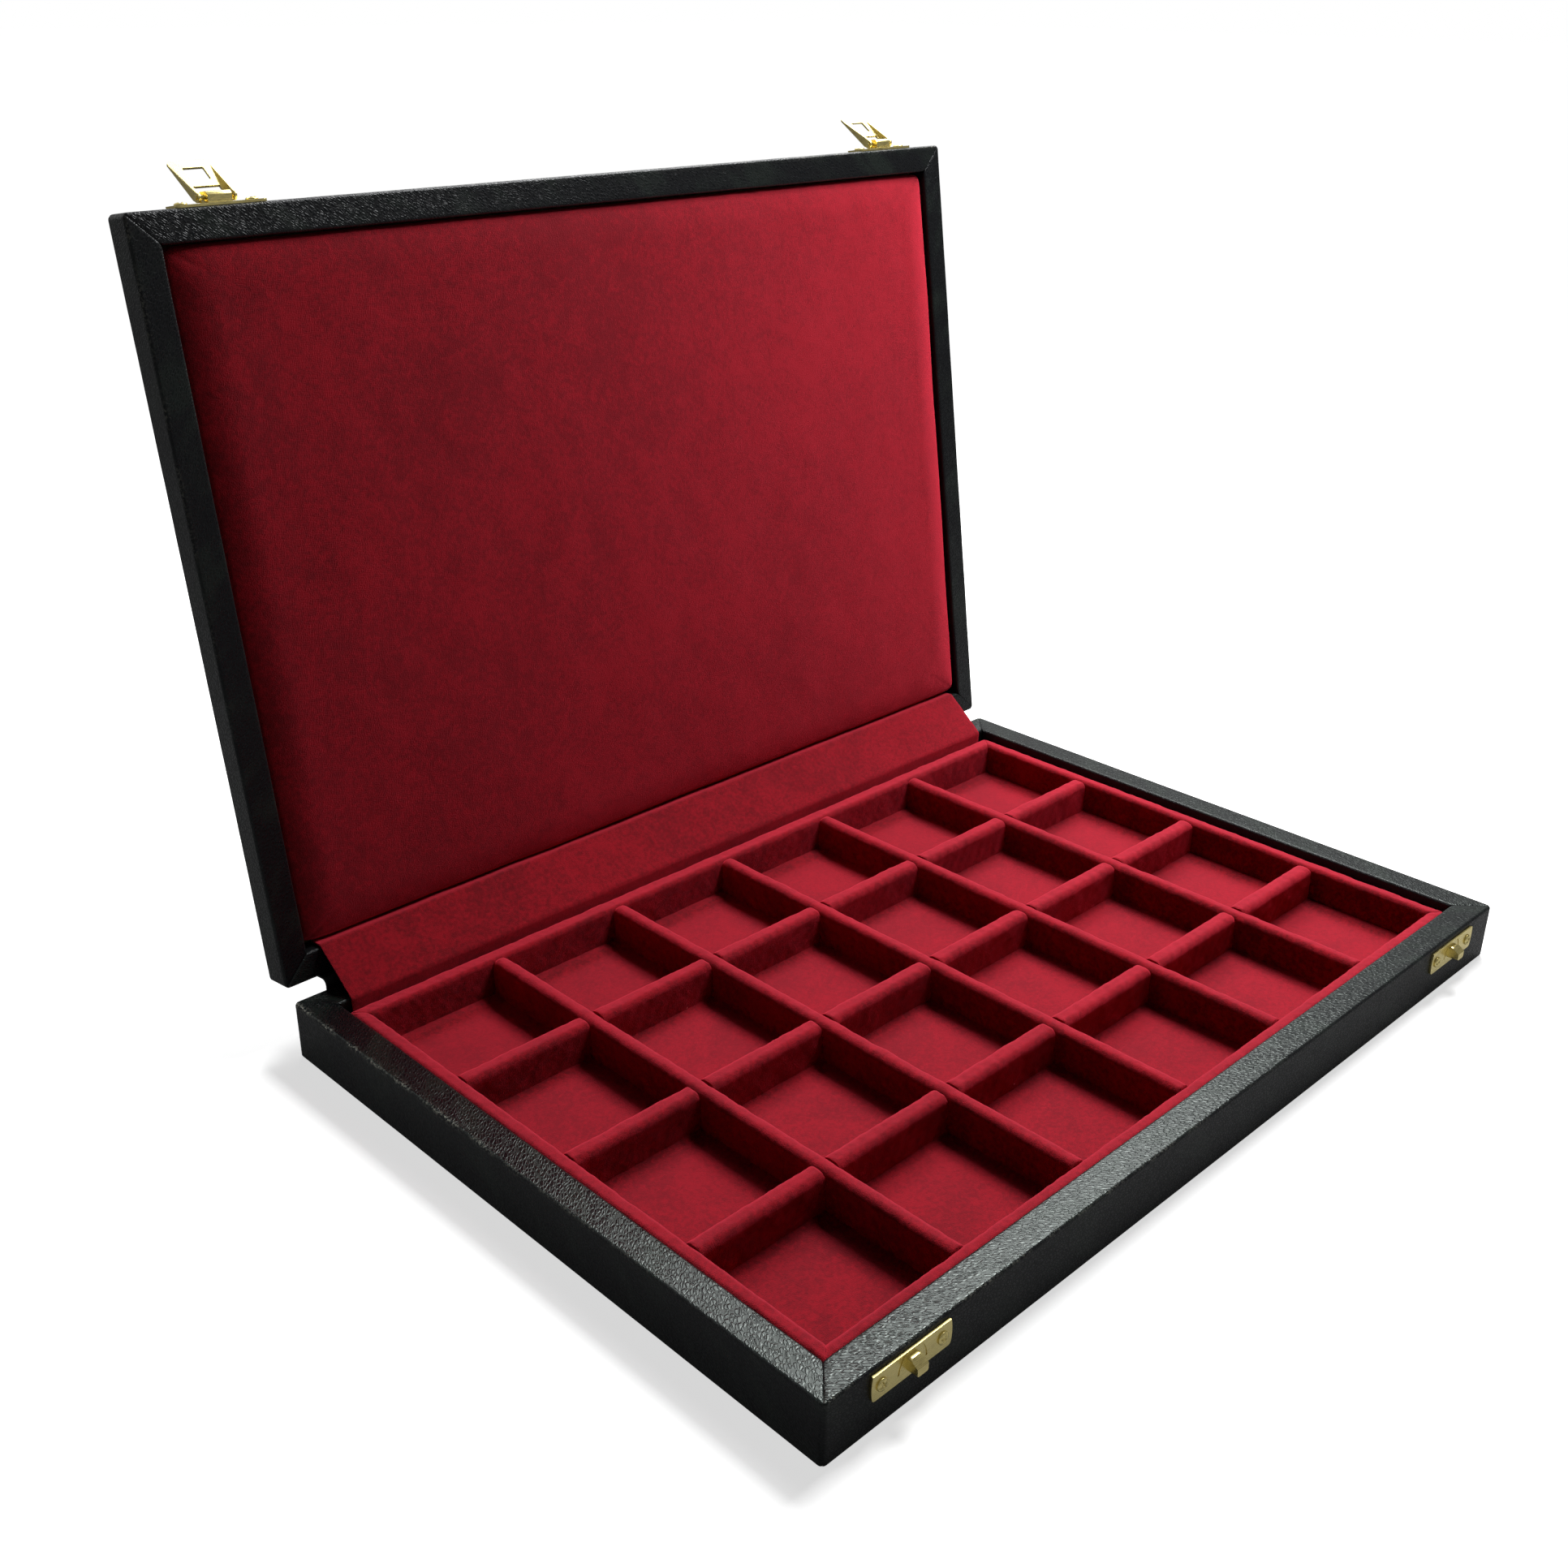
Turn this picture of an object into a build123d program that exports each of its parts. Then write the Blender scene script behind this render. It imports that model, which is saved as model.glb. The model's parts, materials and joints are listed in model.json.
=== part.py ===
"""Hinged display case for coins, standing open.

A shallow wooden box and its lid are covered in grained black leather, joined along the back by a
leather spine, and lined with crimson velvet: a tray of square cells in the base, a padded panel in
the lid, and a velvet strip over the hinge that stops the lid when it is drawn taut. Two brass levers
on the lid's front wall snap over two brass knobs on the base's front wall.

X runs along the front, Y from front to back and Z up. The origin is the middle of the underside.
Every lid piece is written down where it lies with the lid closed, and its planes are then turned
about the hinge to the open lid; the levers are turned once more, to swing clear of the knobs.
"""

import os
from dataclasses import dataclass
from math import cos, radians, sin

from build123d import *

os.makedirs("parts", exist_ok=True)

# Case, in millimetres
case_width = 360.0  # along the front
case_depth = 250.0  # front to back
base_height = 21.4  # underside to the rim
lid_height = 11.6  # rim to the top
rim_gap = 1.0  # between the two rims when closed, for the folded lining
base_rim_width = 11.0
lid_rim_width = 10.0
open_angle = 98.5  # from closed to the taut lining
hinge_setback = 2.8  # hinge line behind the back wall

# Leather covers over the wooden rails
cover_thickness = 0.7
turn_under = 8.0  # leather turned under the rails, on the underside and the top
rim_round = 0.8  # leather over the long edges of the rim
corner_round = 1.6  # upright corners of the case
mitre_gap = 0.1  # seam between two covers

# Boards let into the rails
board_thickness = 2.4
rabbet_width = 3.5
joint_clearance = 0.1

# Tray of cells
columns = 6
rows = 4
divider_width = 6.0  # dividers that run front to back
cross_width = 7.0  # dividers that run left to right
divider_round = 2.0
cross_drop = 0.3  # cross dividers lie this much lower
side_border = 5.5
front_border = 5.0
back_border = 6.6
border_round = 1.6
tray_recess = 2.6  # top of the tray below the rim
tray_side_space = 1.5  # tray to the side walls
tray_front_space = 0.6  # tray to the front wall
tray_back_space = 2.8  # tray to the back wall, where the lining is tucked
tray_floor_thickness = 0.9

# Padded panel in the lid
pad_board_thickness = 2.0
pad_board_margin = 3.0
pad_clearance = 0.4  # pad to the lid's rails
pad_back_space = 1.8  # pad to the back rail, where the lining is tucked
pad_proud = 0.5  # middle of the pad beyond the lid's rim
pad_crown = 1.4  # fall of the pad from its middle to its sides
pad_draw = 0.9  # sides drawn in between the corners

# Velvet lining over the hinge
lining_thickness = 0.8
lining_end_margin = 15.0  # lining to each side of the case
lining_tuck_base = 14.0  # tucked down behind the tray
lining_tuck_lid = 6.5  # tucked up behind the pad
lining_space = 0.8  # lining to the back wall's inner face
lining_bend = 1.2

# Leather spine over the outside of the hinge
spine_thickness = 0.9
spine_end_margin = 13.0  # spine to each side of the case
spine_base_leaf = 14.0
spine_lid_leaf = 6.5
spine_bend = 2.2
spine_clearance = 0.1

# Brass hardware, two of each
latch_inset = 32.0  # middle of a plate from the side of the case
plate_length = 30.0
plate_thickness = 0.8
pin_spread = 11.7  # pins from the middle of a plate
pin_radius = 1.1
pin_length = 6.5  # into the rail
pin_head_radius = 2.0
pin_head_rise = 1.0
pin_head_slope = 0.55  # chamfer round the head
pin_clearance = 0.05

# Striker plate and knob on the base
striker_top = 19.4
striker_height = 8.4
striker_bulge = 0.5  # how far the ends curve out
striker_round = 1.2  # lower corners
knob_height = 15.3
knob_size = 4.6
knob_reach = 4.4  # from the wall
knob_round = 0.9
knob_slope_reach = 2.6  # the slope on top runs out this far
knob_slope_drop = 1.9  # and falls this much
knob_taper = 3.0  # degrees
knob_shank_radius = 1.3
knob_shank_length = 5.5
groove_depth = 0.25
groove_width = 0.6
# The grooves curve round the knob, from the plate's top to its side: (beside, above the knob's middle)
groove_points = ((3.2, 3.6), (4.6, 1.4), (5.4, -1.8))

# Latch plate and lever on the lid
latch_plate_height = 8.5
latch_plate_round = 1.4
latch_plate_lift = 0.5  # above the lid's rim
knuckle_width = 8.0
knuckle_low = 2.7  # below the pivot
knuckle_high = 2.8  # above the pivot
knuckle_reach = 4.2  # from the wall
knuckle_round = 1.3
pivot_reach = 2.6  # from the wall
pivot_to_knob = 11.8
pivot_pin_radius = 0.7
pivot_fit = 0.02  # pin in the knuckle
pivot_clearance = 0.05  # lever on the pin
pivot_pin_end = 0.5  # pin beyond the lever's sides
latch_swing = 137.0  # from latched to swung open
lever_thickness = 0.8
lever_face = 2.0  # outer face beyond the pivot
lever_length = 17.8  # pivot to tip
lever_root_width = 12.6
lever_tip_width = 14.2
lever_heel = 1.6  # round end about the pivot
lever_flange_end = 15.5  # where the side flanges run out
lever_shoulder = 1.0  # where the face starts, from the pivot
lever_tip_round = 1.2
window_width = 7.0
window_length = 5.7
slot_width = 9.4
slot_end = 6.2
slot_round = 0.5

# Worked out from the sizes above
half_width = case_width / 2
half_depth = case_depth / 2
hinge_y = half_depth + hinge_setback
hinge_z = base_height + rim_gap / 2
lid_rim_z = base_height + rim_gap
closed_height = lid_rim_z + lid_height
floor_z = cover_thickness + board_thickness + tray_floor_thickness
tray_top = base_height - tray_recess
pivot_z = knob_height + pivot_to_knob
pivot_y = -half_depth - pivot_reach
wall_inner_back = half_depth - base_rim_width
tray_half_width = half_width - base_rim_width - tray_side_space
tray_front = -half_depth + base_rim_width + tray_front_space
tray_back = wall_inner_back - tray_back_space
tray_inner_front = tray_front + front_border
tray_inner_back = tray_back - back_border
tray_middle = (tray_inner_front + tray_inner_back) / 2
tray_inner_width = 2 * (tray_half_width - side_border)
tray_inner_length = tray_inner_back - tray_inner_front
column_pitch = (tray_inner_width + divider_width) / columns
row_pitch = (tray_inner_length + cross_width) / rows
striker_middle = striker_top - striker_height / 2
latch_offset = half_width - latch_inset
lining_half_length = half_width - lining_end_margin


def turned(point, angle):
    """The move that turns pieces by an angle about a line along X through a point."""
    back = Location((-point[0], -point[1], -point[2]))
    return Location(point, (angle, 0, 0)) * back


def moved(plane, move):
    """A plane of the closed case, carried along by a move."""
    return Plane(move * plane.location)


lid_turn = turned((0, hinge_y, hinge_z), -open_angle)
lever_turn = lid_turn * turned((0, pivot_y, pivot_z), -latch_swing)


@dataclass
class Shell:
    """Base or lid: a mitred frame of rails with a board at its outer skin."""

    name: str
    rim_width: float
    height: float
    skin_z: float  # height of the outer skin with the lid closed
    toward_rim: int  # +1 where the rim is above the skin, -1 where it is below
    turn: Location

    def level(self, depth):
        """Horizontal plane at a depth from the outer skin."""
        return moved(Plane.XY.offset(self.skin_z + self.toward_rim * depth), self.turn)


base = Shell("base", base_rim_width, base_height, 0, 1, Location())
lid = Shell("lid", lid_rim_width, lid_height, closed_height, -1, lid_turn)

# Each side's inward direction, and the half length and half distance across of its wall
sides = {
    "front": (Vector(0, 1, 0), half_width, half_depth),
    "back": (Vector(0, -1, 0), half_width, half_depth),
    "left": (Vector(1, 0, 0), half_depth, half_width),
    "right": (Vector(-1, 0, 0), half_depth, half_width),
}


def wall_profile_plane(shell, side):
    """Cross-section plane of a wall: local x inward, local y from the outer skin to the rim."""
    inward, _, distance = sides[side]
    origin = inward * -distance + Vector(0, 0, shell.skin_z)
    normal = inward.cross(Vector(0, 0, shell.toward_rim))
    return moved(Plane(origin, x_dir=inward, z_dir=normal), shell.turn)


def mitred_side(side, outer, inner):
    """Plan of one side of a frame, cut at the lines from its outer to its inner corners.

    outer and inner are rectangles (low x, low y, high x, high y).
    """
    corners = {
        "front": ((0, 1), (2, 1)),
        "right": ((2, 1), (2, 3)),
        "back": ((2, 3), (0, 3)),
        "left": ((0, 3), (0, 1)),
    }[side]
    first_out, last_out = [Vector(outer[i], outer[j]) for i, j in corners]
    first_in, last_in = [Vector(inner[i], inner[j]) for i, j in corners]
    seam = (last_out - first_out).normalized() * (mitre_gap / 2)
    points = [first_out + seam, last_out - seam, last_in - seam, first_in + seam]
    return Polygon(*[(p.X, p.Y) for p in points], align=None)


def inset_rectangle(inset):
    """The case's outline, drawn in on all sides."""
    return (-half_width + inset, -half_depth + inset, half_width - inset, half_depth - inset)


def finish(piece, name):
    """Label a piece and write its file."""
    piece.part.label = name
    export_step(piece.part, f"parts/{name}.step")


# Fixing points on the front walls, as (x, height) with the lid closed


def pin_points(height):
    """The two pins of both plates at a height."""
    return [
        (side * latch_offset + end * pin_spread, height)
        for side in (-1, 1)
        for end in (-1, 1)
    ]


latch_plate_middle = lid_rim_z + latch_plate_lift + latch_plate_height / 2
striker_pins = pin_points(striker_middle)
latch_pins = pin_points(latch_plate_middle)
knob_points = [(side * latch_offset, knob_height) for side in (-1, 1)]


def front_face(reach=0.0, x=0.0):
    """Plane on the front walls, facing out: local x along the front from x, local y up."""
    return Plane((x, -half_depth - reach, 0), x_dir=(1, 0, 0), z_dir=(0, -1, 0))


def drill_front(shell):
    """Holes for the pins and knob shanks through the front cover and into the front rail."""
    pins = striker_pins if shell is base else latch_pins
    with Locations(moved(front_face(), shell.turn)):
        with Locations(*pins):
            Hole(pin_radius + pin_clearance, pin_length + pin_clearance)
        if shell is base:
            with Locations(*knob_points):
                Hole(knob_shank_radius + pin_clearance, knob_shank_length + pin_clearance)


# Rails, covers and boards of the base and the lid


def make_rail(shell, side):
    """A mitred wooden rail, rabbeted for the board."""
    outer = inset_rectangle(cover_thickness)
    inner = inset_rectangle(shell.rim_width - cover_thickness)
    board_edge = shell.rim_width - cover_thickness - rabbet_width - joint_clearance
    with BuildPart() as rail:
        with BuildSketch(shell.level(cover_thickness)):
            mitred_side(side, outer, inner)
        extrude(amount=shell.toward_rim * (shell.height - 2 * cover_thickness))
        with BuildSketch(shell.level(cover_thickness)):
            Rectangle(case_width - 2 * board_edge, case_depth - 2 * board_edge)
        extrude(amount=shell.toward_rim * board_thickness, mode=Mode.SUBTRACT)
        if side == "front":
            drill_front(shell)
    finish(rail, f"{shell.name}_rail_{side}")


def make_cover(shell, side):
    """The leather over a rail: turned under, up the outside, over the rim and down the inside."""
    rim = shell.rim_width
    skin = cover_thickness
    half_length = sides[side][1]
    board_top = skin + board_thickness
    with BuildPart() as cover:
        with BuildSketch(wall_profile_plane(shell, side)) as section:
            Rectangle(rim, shell.height, align=Align.MIN)
            fillet(section.vertices().sort_by(Axis.Y)[2:], rim_round)
            fillet(section.vertices().sort_by(Axis.X).sort_by(Axis.Y)[:1], rim_round)
            with Locations((skin, skin)):
                Rectangle(rim - 2 * skin, shell.height - 2 * skin, align=Align.MIN, mode=Mode.SUBTRACT)
            with Locations((rim - skin, 0)):
                Rectangle(skin, board_top, align=Align.MIN, mode=Mode.SUBTRACT)
            with Locations((turn_under, 0)):
                Rectangle(rim - turn_under, skin, align=Align.MIN, mode=Mode.SUBTRACT)
        extrude(amount=half_length, both=True)
        with BuildSketch(shell.level(0)):
            mitred_side(side, inset_rectangle(0), inset_rectangle(rim))
        extrude(amount=shell.toward_rim * shell.height, mode=Mode.INTERSECT)
        with BuildSketch(shell.level(0)):
            RectangleRounded(case_width, case_depth, corner_round)
        extrude(amount=shell.toward_rim * shell.height, mode=Mode.INTERSECT)
        if side == "front":
            drill_front(shell)
    finish(cover, f"{shell.name}_cover_{side}")


def make_board(shell, name):
    """The thin board let into the rails at the outer skin."""
    edge = shell.rim_width - cover_thickness - rabbet_width
    with BuildPart() as board:
        with BuildSketch(shell.level(cover_thickness)):
            Rectangle(case_width - 2 * edge, case_depth - 2 * edge)
        extrude(amount=shell.toward_rim * (board_thickness - joint_clearance / 2))
    finish(board, name)


def make_skin_panel(shell, name):
    """The panel of covering between the turned-under edges."""
    edge = turn_under + mitre_gap
    with BuildPart() as panel:
        with BuildSketch(shell.level(0)):
            RectangleRounded(case_width - 2 * edge, case_depth - 2 * edge, corner_round)
        extrude(amount=shell.toward_rim * cover_thickness)
    finish(panel, name)


for shell in (base, lid):
    for side in sides:
        make_rail(shell, side)
        make_cover(shell, side)
make_board(base, "base_board")
make_board(lid, "lid_board")
make_skin_panel(base, "base_underside_cover")
make_skin_panel(lid, "lid_top_cover")

# Tray: a velvet-covered floor, four borders, and dividers halved into each other

tray_inner = (-tray_inner_width / 2, tray_inner_front, tray_inner_width / 2, tray_inner_back)
tray_outer = (-tray_half_width, tray_front, tray_half_width, tray_back)
tray_wall = tray_top - floor_z
column_lines = [(i - columns / 2) * column_pitch for i in range(1, columns)]
row_lines = [tray_middle + (j - rows / 2) * row_pitch for j in range(1, rows)]

with BuildPart() as tray_floor:
    with BuildSketch(Plane.XY.offset(floor_z - tray_floor_thickness)):
        with Locations((0, (tray_front + tray_back) / 2)):
            Rectangle(2 * tray_half_width, tray_back - tray_front)
    extrude(amount=tray_floor_thickness)
finish(tray_floor, "tray_floor")

border_frames = {
    "front": (Plane((0, tray_front, floor_z), (0, 1, 0), (1, 0, 0)), front_border),
    "back": (Plane((0, tray_back, floor_z), (0, -1, 0), (-1, 0, 0)), back_border),
    "left": (Plane((tray_outer[0], 0, floor_z), (1, 0, 0), (0, -1, 0)), side_border),
    "right": (Plane((tray_outer[2], 0, floor_z), (-1, 0, 0), (0, 1, 0)), side_border),
}
for side, (section_plane, width) in border_frames.items():
    with BuildPart() as border:
        with BuildSketch(section_plane) as section:
            Rectangle(width, tray_wall, align=Align.MIN)
            fillet(section.vertices().sort_by(Axis.Y)[2:], border_round)
        extrude(amount=half_width, both=True)
        with BuildSketch(Plane.XY.offset(floor_z)):
            mitred_side(side, tray_outer, tray_inner)
        extrude(amount=tray_wall, mode=Mode.INTERSECT)
    finish(border, f"tray_border_{side}")


def divider_section(section, width, height):
    """A divider's cross-section, standing on the tray floor, its top rounded by the velvet."""
    Rectangle(width, height, align=(Align.CENTER, Align.MIN))
    fillet(section.vertices().sort_by(Axis.Y)[2:], divider_round)


for number, x in enumerate(column_lines, 1):
    with BuildPart() as divider:
        with BuildSketch(Plane((x, tray_middle, floor_z), (1, 0, 0), (0, -1, 0))) as section:
            divider_section(section, divider_width, tray_wall)
        extrude(amount=tray_inner_length / 2 - joint_clearance, both=True)
        with BuildSketch(Plane.XY.offset(floor_z)):
            with Locations(*[(x, y) for y in row_lines]):
                Rectangle(divider_width, cross_width + 2 * joint_clearance)
        extrude(amount=tray_wall / 2, mode=Mode.SUBTRACT)
    finish(divider, f"tray_divider_{number}")

for number, y in enumerate(row_lines, 1):
    with BuildPart() as cross:
        with BuildSketch(Plane((0, y, floor_z), (0, 1, 0), (1, 0, 0))) as section:
            divider_section(section, cross_width, tray_wall - cross_drop)
        extrude(amount=tray_inner_width / 2 - joint_clearance, both=True)
        with BuildSketch(Plane.XY.offset(floor_z + tray_wall / 2 - joint_clearance)):
            with Locations(*[(x, y) for x in column_lines]):
                Rectangle(divider_width + 2 * joint_clearance, cross_width)
        extrude(amount=tray_wall, mode=Mode.SUBTRACT)
    finish(cross, f"tray_cross_divider_{number}")

# Lid lining: a card and a crowned pad of foam under velvet, its sides drawn in between its corners

pad_left = -half_width + lid_rim_width + pad_clearance
pad_front = -half_depth + lid_rim_width + pad_clearance
pad_back = half_depth - lid_rim_width - pad_back_space
pad_middle = (pad_front + pad_back) / 2
pad_half_x = -pad_left
pad_half_y = (pad_back - pad_front) / 2
card_z = closed_height - cover_thickness - board_thickness
pad_z = card_z - pad_board_thickness
pad_face_z = lid_rim_z - pad_proud

with BuildPart() as lid_pad_board:
    with BuildSketch(moved(Plane.XY.offset(pad_z), lid.turn)):
        with Locations((0, pad_middle)):
            Rectangle(2 * (pad_half_x - pad_board_margin), 2 * (pad_half_y - pad_board_margin))
    extrude(amount=pad_board_thickness)
finish(lid_pad_board, "lid_pad_board")

pad_depth = pad_z - pad_face_z
pad_vaults = {
    pad_half_x: Plane((0, pad_middle, pad_z), (1, 0, 0), (0, -1, 0)),
    pad_half_y: Plane((0, pad_middle, pad_z), (0, 1, 0), (1, 0, 0)),
}
with BuildPart() as lid_pad:
    with BuildSketch(moved(Plane((0, pad_middle, pad_z)), lid.turn)):
        x, y = pad_half_x, pad_half_y
        with BuildLine():
            ThreePointArc((-x, -y), (0, -y + pad_draw), (x, -y))
            ThreePointArc((x, -y), (x - pad_draw, 0), (x, y))
            ThreePointArc((x, y), (0, y - pad_draw), (-x, y))
            ThreePointArc((-x, y), (-x + pad_draw, 0), (-x, -y))
        make_face()
    extrude(amount=-pad_depth)
    for half_span, section_plane in pad_vaults.items():
        side = (half_span, pad_crown / 2 - pad_depth)
        other_side = (-half_span, side[1])
        with BuildSketch(moved(section_plane, lid.turn)):
            with BuildLine():
                Polyline(side, (half_span, 0), (-half_span, 0), other_side)
                ThreePointArc(other_side, (0, -pad_depth), side)
            make_face()
        extrude(amount=half_width, both=True, mode=Mode.INTERSECT)
finish(lid_pad, "lid_pad")

# Hinge: the velvet lining inside and the leather spine outside, both bent over the open hinge


def open_place(y, z):
    """Where a point of the closed lid, in the plane across the hinge, lies with the lid open."""
    dy, dz = y - hinge_y, z - hinge_z
    turn = radians(open_angle)
    return (hinge_y + dy * cos(turn) + dz * sin(turn), hinge_z - dy * sin(turn) + dz * cos(turn))


def make_strip(name, route, thickness, bend, half_length):
    """A strip of even thickness along a route across the hinge."""
    with BuildPart() as strip:
        with BuildSketch(Plane.YZ):
            with BuildLine():
                FilletPolyline(*route, radius=bend)
            trace(line_width=thickness)
        extrude(amount=half_length, both=True)
    finish(strip, name)


lining_base_y = wall_inner_back - lining_space - lining_thickness / 2
lining_lid_y = half_depth - lid_rim_width - pad_back_space / 2
make_strip(
    "hinge_lining",
    [
        (lining_base_y, base_height - lining_tuck_base),
        (lining_base_y, base_height + lining_thickness / 2),
        open_place(lining_lid_y, lid_rim_z),
        open_place(lining_lid_y, lid_rim_z + lining_tuck_lid),
    ],
    lining_thickness,
    lining_bend,
    lining_half_length,
)

spine_base_y = half_depth + spine_thickness / 2
spine_lid_y = spine_base_y + spine_clearance
# The two leaves meet where the lid leaf's line, in the open lid, crosses the base leaf's line
leaf_start = open_place(spine_lid_y, lid_rim_z)
leaf_slope = cos(radians(open_angle)) / sin(radians(open_angle))
spine_corner = (spine_base_y, leaf_start[1] - (leaf_start[0] - spine_base_y) * leaf_slope)
make_strip(
    "leather_spine",
    [
        (spine_base_y, base_height - spine_base_leaf),
        spine_corner,
        open_place(spine_lid_y, lid_rim_z + spine_lid_leaf),
    ],
    spine_thickness,
    spine_bend,
    half_width - spine_end_margin,
)

# Brass hardware


def make_pins(name, points, turn):
    """Round-headed pins through a plate, two in one file."""
    outside = moved(front_face(plate_thickness), turn)
    with BuildPart() as pins:
        with BuildSketch(outside):
            with Locations(*points):
                Circle(pin_radius)
        extrude(amount=-pin_length - plate_thickness)
        with BuildSketch(outside):
            with Locations(*points):
                Circle(pin_head_radius)
        extrude(amount=pin_head_rise)
        crowns = pins.faces().group_by(Axis(outside.origin, outside.z_dir))[-1]
        chamfer(crowns.edges(), pin_head_slope)
    finish(pins, name)


def make_striker_plate(name, x):
    """A flat plate with curved ends, embossed round the knob."""
    end = plate_length / 2
    low = striker_top - striker_height
    with BuildPart() as plate:
        with BuildSketch(front_face(0, x)) as outline:
            with BuildLine():
                for way in (-1, 1):
                    ThreePointArc((way * end, striker_top), (way * (end + striker_bulge), striker_middle),
                                  (way * end, low))
                Line((-end, striker_top), (end, striker_top))
                Line((-end, low), (end, low))
            make_face()
            fillet(outline.vertices().sort_by(Axis.Y)[:2], striker_round)
        extrude(amount=plate_thickness)
        with BuildSketch(front_face(plate_thickness, x)):
            for way in (-1, 1):
                with BuildLine():
                    ThreePointArc(*[(way * beside, knob_height + above) for beside, above in groove_points])
                trace(line_width=groove_width)
        extrude(amount=-groove_depth, mode=Mode.SUBTRACT)
        with Locations(front_face(plate_thickness, x)):
            with Locations((-pin_spread, striker_middle), (pin_spread, striker_middle)):
                Hole(pin_radius + pin_clearance, plate_thickness)
            with Locations((0, knob_height)):
                Hole(knob_shank_radius + pin_clearance, plate_thickness)
    finish(plate, name)


def make_knob(name, x):
    """A riveted knob with a square head, sloped on top for the lever to ride over."""
    top = knob_height + knob_size / 2
    low = knob_height - knob_size / 2
    with BuildPart() as knob:
        with BuildSketch(front_face(plate_thickness, x)):
            with Locations((0, knob_height)):
                RectangleRounded(knob_size, knob_size, knob_round)
        extrude(amount=knob_reach - plate_thickness, taper=knob_taper)
        with BuildSketch(Plane((x, -half_depth, 0), x_dir=(0, -1, 0), z_dir=(-1, 0, 0))):
            Polygon((0, low), (knob_reach, low), (knob_reach, top - knob_slope_drop),
                    (knob_reach - knob_slope_reach, top), (0, top), align=None)
        extrude(amount=knob_size, both=True, mode=Mode.INTERSECT)
        with BuildSketch(front_face(plate_thickness, x)):
            with Locations((0, knob_height)):
                Circle(knob_shank_radius)
        extrude(amount=-plate_thickness - knob_shank_length)
    finish(knob, name)


def lever_side_plane(x=0.0):
    """Across the latched lever: local x from the pivot to the tip, local y outward."""
    return Plane((x, pivot_y, pivot_z), x_dir=(0, 0, -1), z_dir=(-1, 0, 0))


def lever_plan_plane(x, reach):
    """On the latched lever: local x along the front, local y from the pivot to the tip."""
    return Plane((x, pivot_y - reach, pivot_z), x_dir=(1, 0, 0), z_dir=(0, 1, 0))


def make_latch_plate(name, x):
    """The plate on the lid, with the knuckle that carries the pivot pin."""
    with BuildPart() as plate:
        with BuildSketch(moved(front_face(), lid.turn)):
            with Locations((x, latch_plate_middle)):
                RectangleRounded(plate_length, latch_plate_height, latch_plate_round)
        extrude(amount=plate_thickness)
        with BuildSketch(moved(lever_side_plane(x), lid.turn)) as section:
            with Locations(((knuckle_low - knuckle_high) / 2, knuckle_reach / 2 - pivot_reach)):
                Rectangle(knuckle_low + knuckle_high, knuckle_reach)
            fillet(section.vertices().sort_by(Axis.Y)[2:], knuckle_round)
        extrude(amount=knuckle_width / 2, both=True)
        with BuildSketch(moved(lever_side_plane(x), lid.turn)):
            Circle(pivot_pin_radius + pivot_fit)
        extrude(amount=knuckle_width, both=True, mode=Mode.SUBTRACT)
        with Locations(moved(front_face(plate_thickness, x), lid.turn)):
            with Locations((-pin_spread, latch_plate_middle), (pin_spread, latch_plate_middle)):
                Hole(pin_radius + pin_clearance, plate_thickness)
    finish(plate, name)


def make_pivot_pin(name, x):
    """The pin fixed in the knuckle, on which the lever's flanges turn."""
    with BuildPart() as pin:
        with BuildSketch(moved(lever_side_plane(x), lid.turn)):
            Circle(pivot_pin_radius)
        extrude(amount=lever_root_width / 2 + pivot_pin_end, both=True)
    finish(pin, name)


def lever_plan(inset):
    """The lever's plan, widening from the pivot to the tip."""
    root = lever_root_width / 2 - inset
    tip = lever_tip_width / 2 - inset
    Polygon((-root, -lever_heel), (root, -lever_heel), (tip, lever_length), (-tip, lever_length), align=None)


def make_lever(name, x):
    """A pressed lever: a face with a window for the knob, and side flanges that run out to the tip."""
    turn = lever_turn
    with BuildPart() as lever:
        with BuildSketch(moved(lever_side_plane(x), turn)):
            with BuildLine():
                inner = lever_face - lever_thickness
                ThreePointArc((0, lever_heel), (-lever_heel, 0), (0, -lever_heel))
                Polyline(
                    (0, -lever_heel),
                    (lever_flange_end, inner),
                    (lever_length, inner),
                    (lever_length, lever_face),
                    (lever_shoulder, lever_face),
                    (0, lever_heel),
                )
            make_face()
        extrude(amount=lever_tip_width, both=True)
        with BuildSketch(moved(lever_plan_plane(x, lever_face), turn)) as plan:
            lever_plan(0)
            fillet(plan.vertices().sort_by(Axis.Y)[2:], lever_tip_round)
        extrude(amount=2 * lever_face + lever_heel, mode=Mode.INTERSECT)
        with BuildSketch(moved(lever_plan_plane(x, lever_face - lever_thickness), turn)):
            lever_plan(lever_thickness)
        extrude(amount=2 * lever_heel + lever_face, mode=Mode.SUBTRACT)
        with BuildSketch(moved(lever_plan_plane(x, lever_face), turn)) as openings:
            with Locations((0, pivot_to_knob)):
                RectangleRounded(window_width, window_length, slot_round)
            with Locations((0, slot_end)):
                Rectangle(slot_width, slot_end + lever_heel, align=(Align.CENTER, Align.MAX))
        extrude(amount=lever_thickness, mode=Mode.SUBTRACT)
        with BuildSketch(moved(lever_side_plane(x), turn)):
            Circle(pivot_pin_radius + pivot_clearance)
        extrude(amount=lever_tip_width, both=True, mode=Mode.SUBTRACT)
    finish(lever, name)


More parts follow.
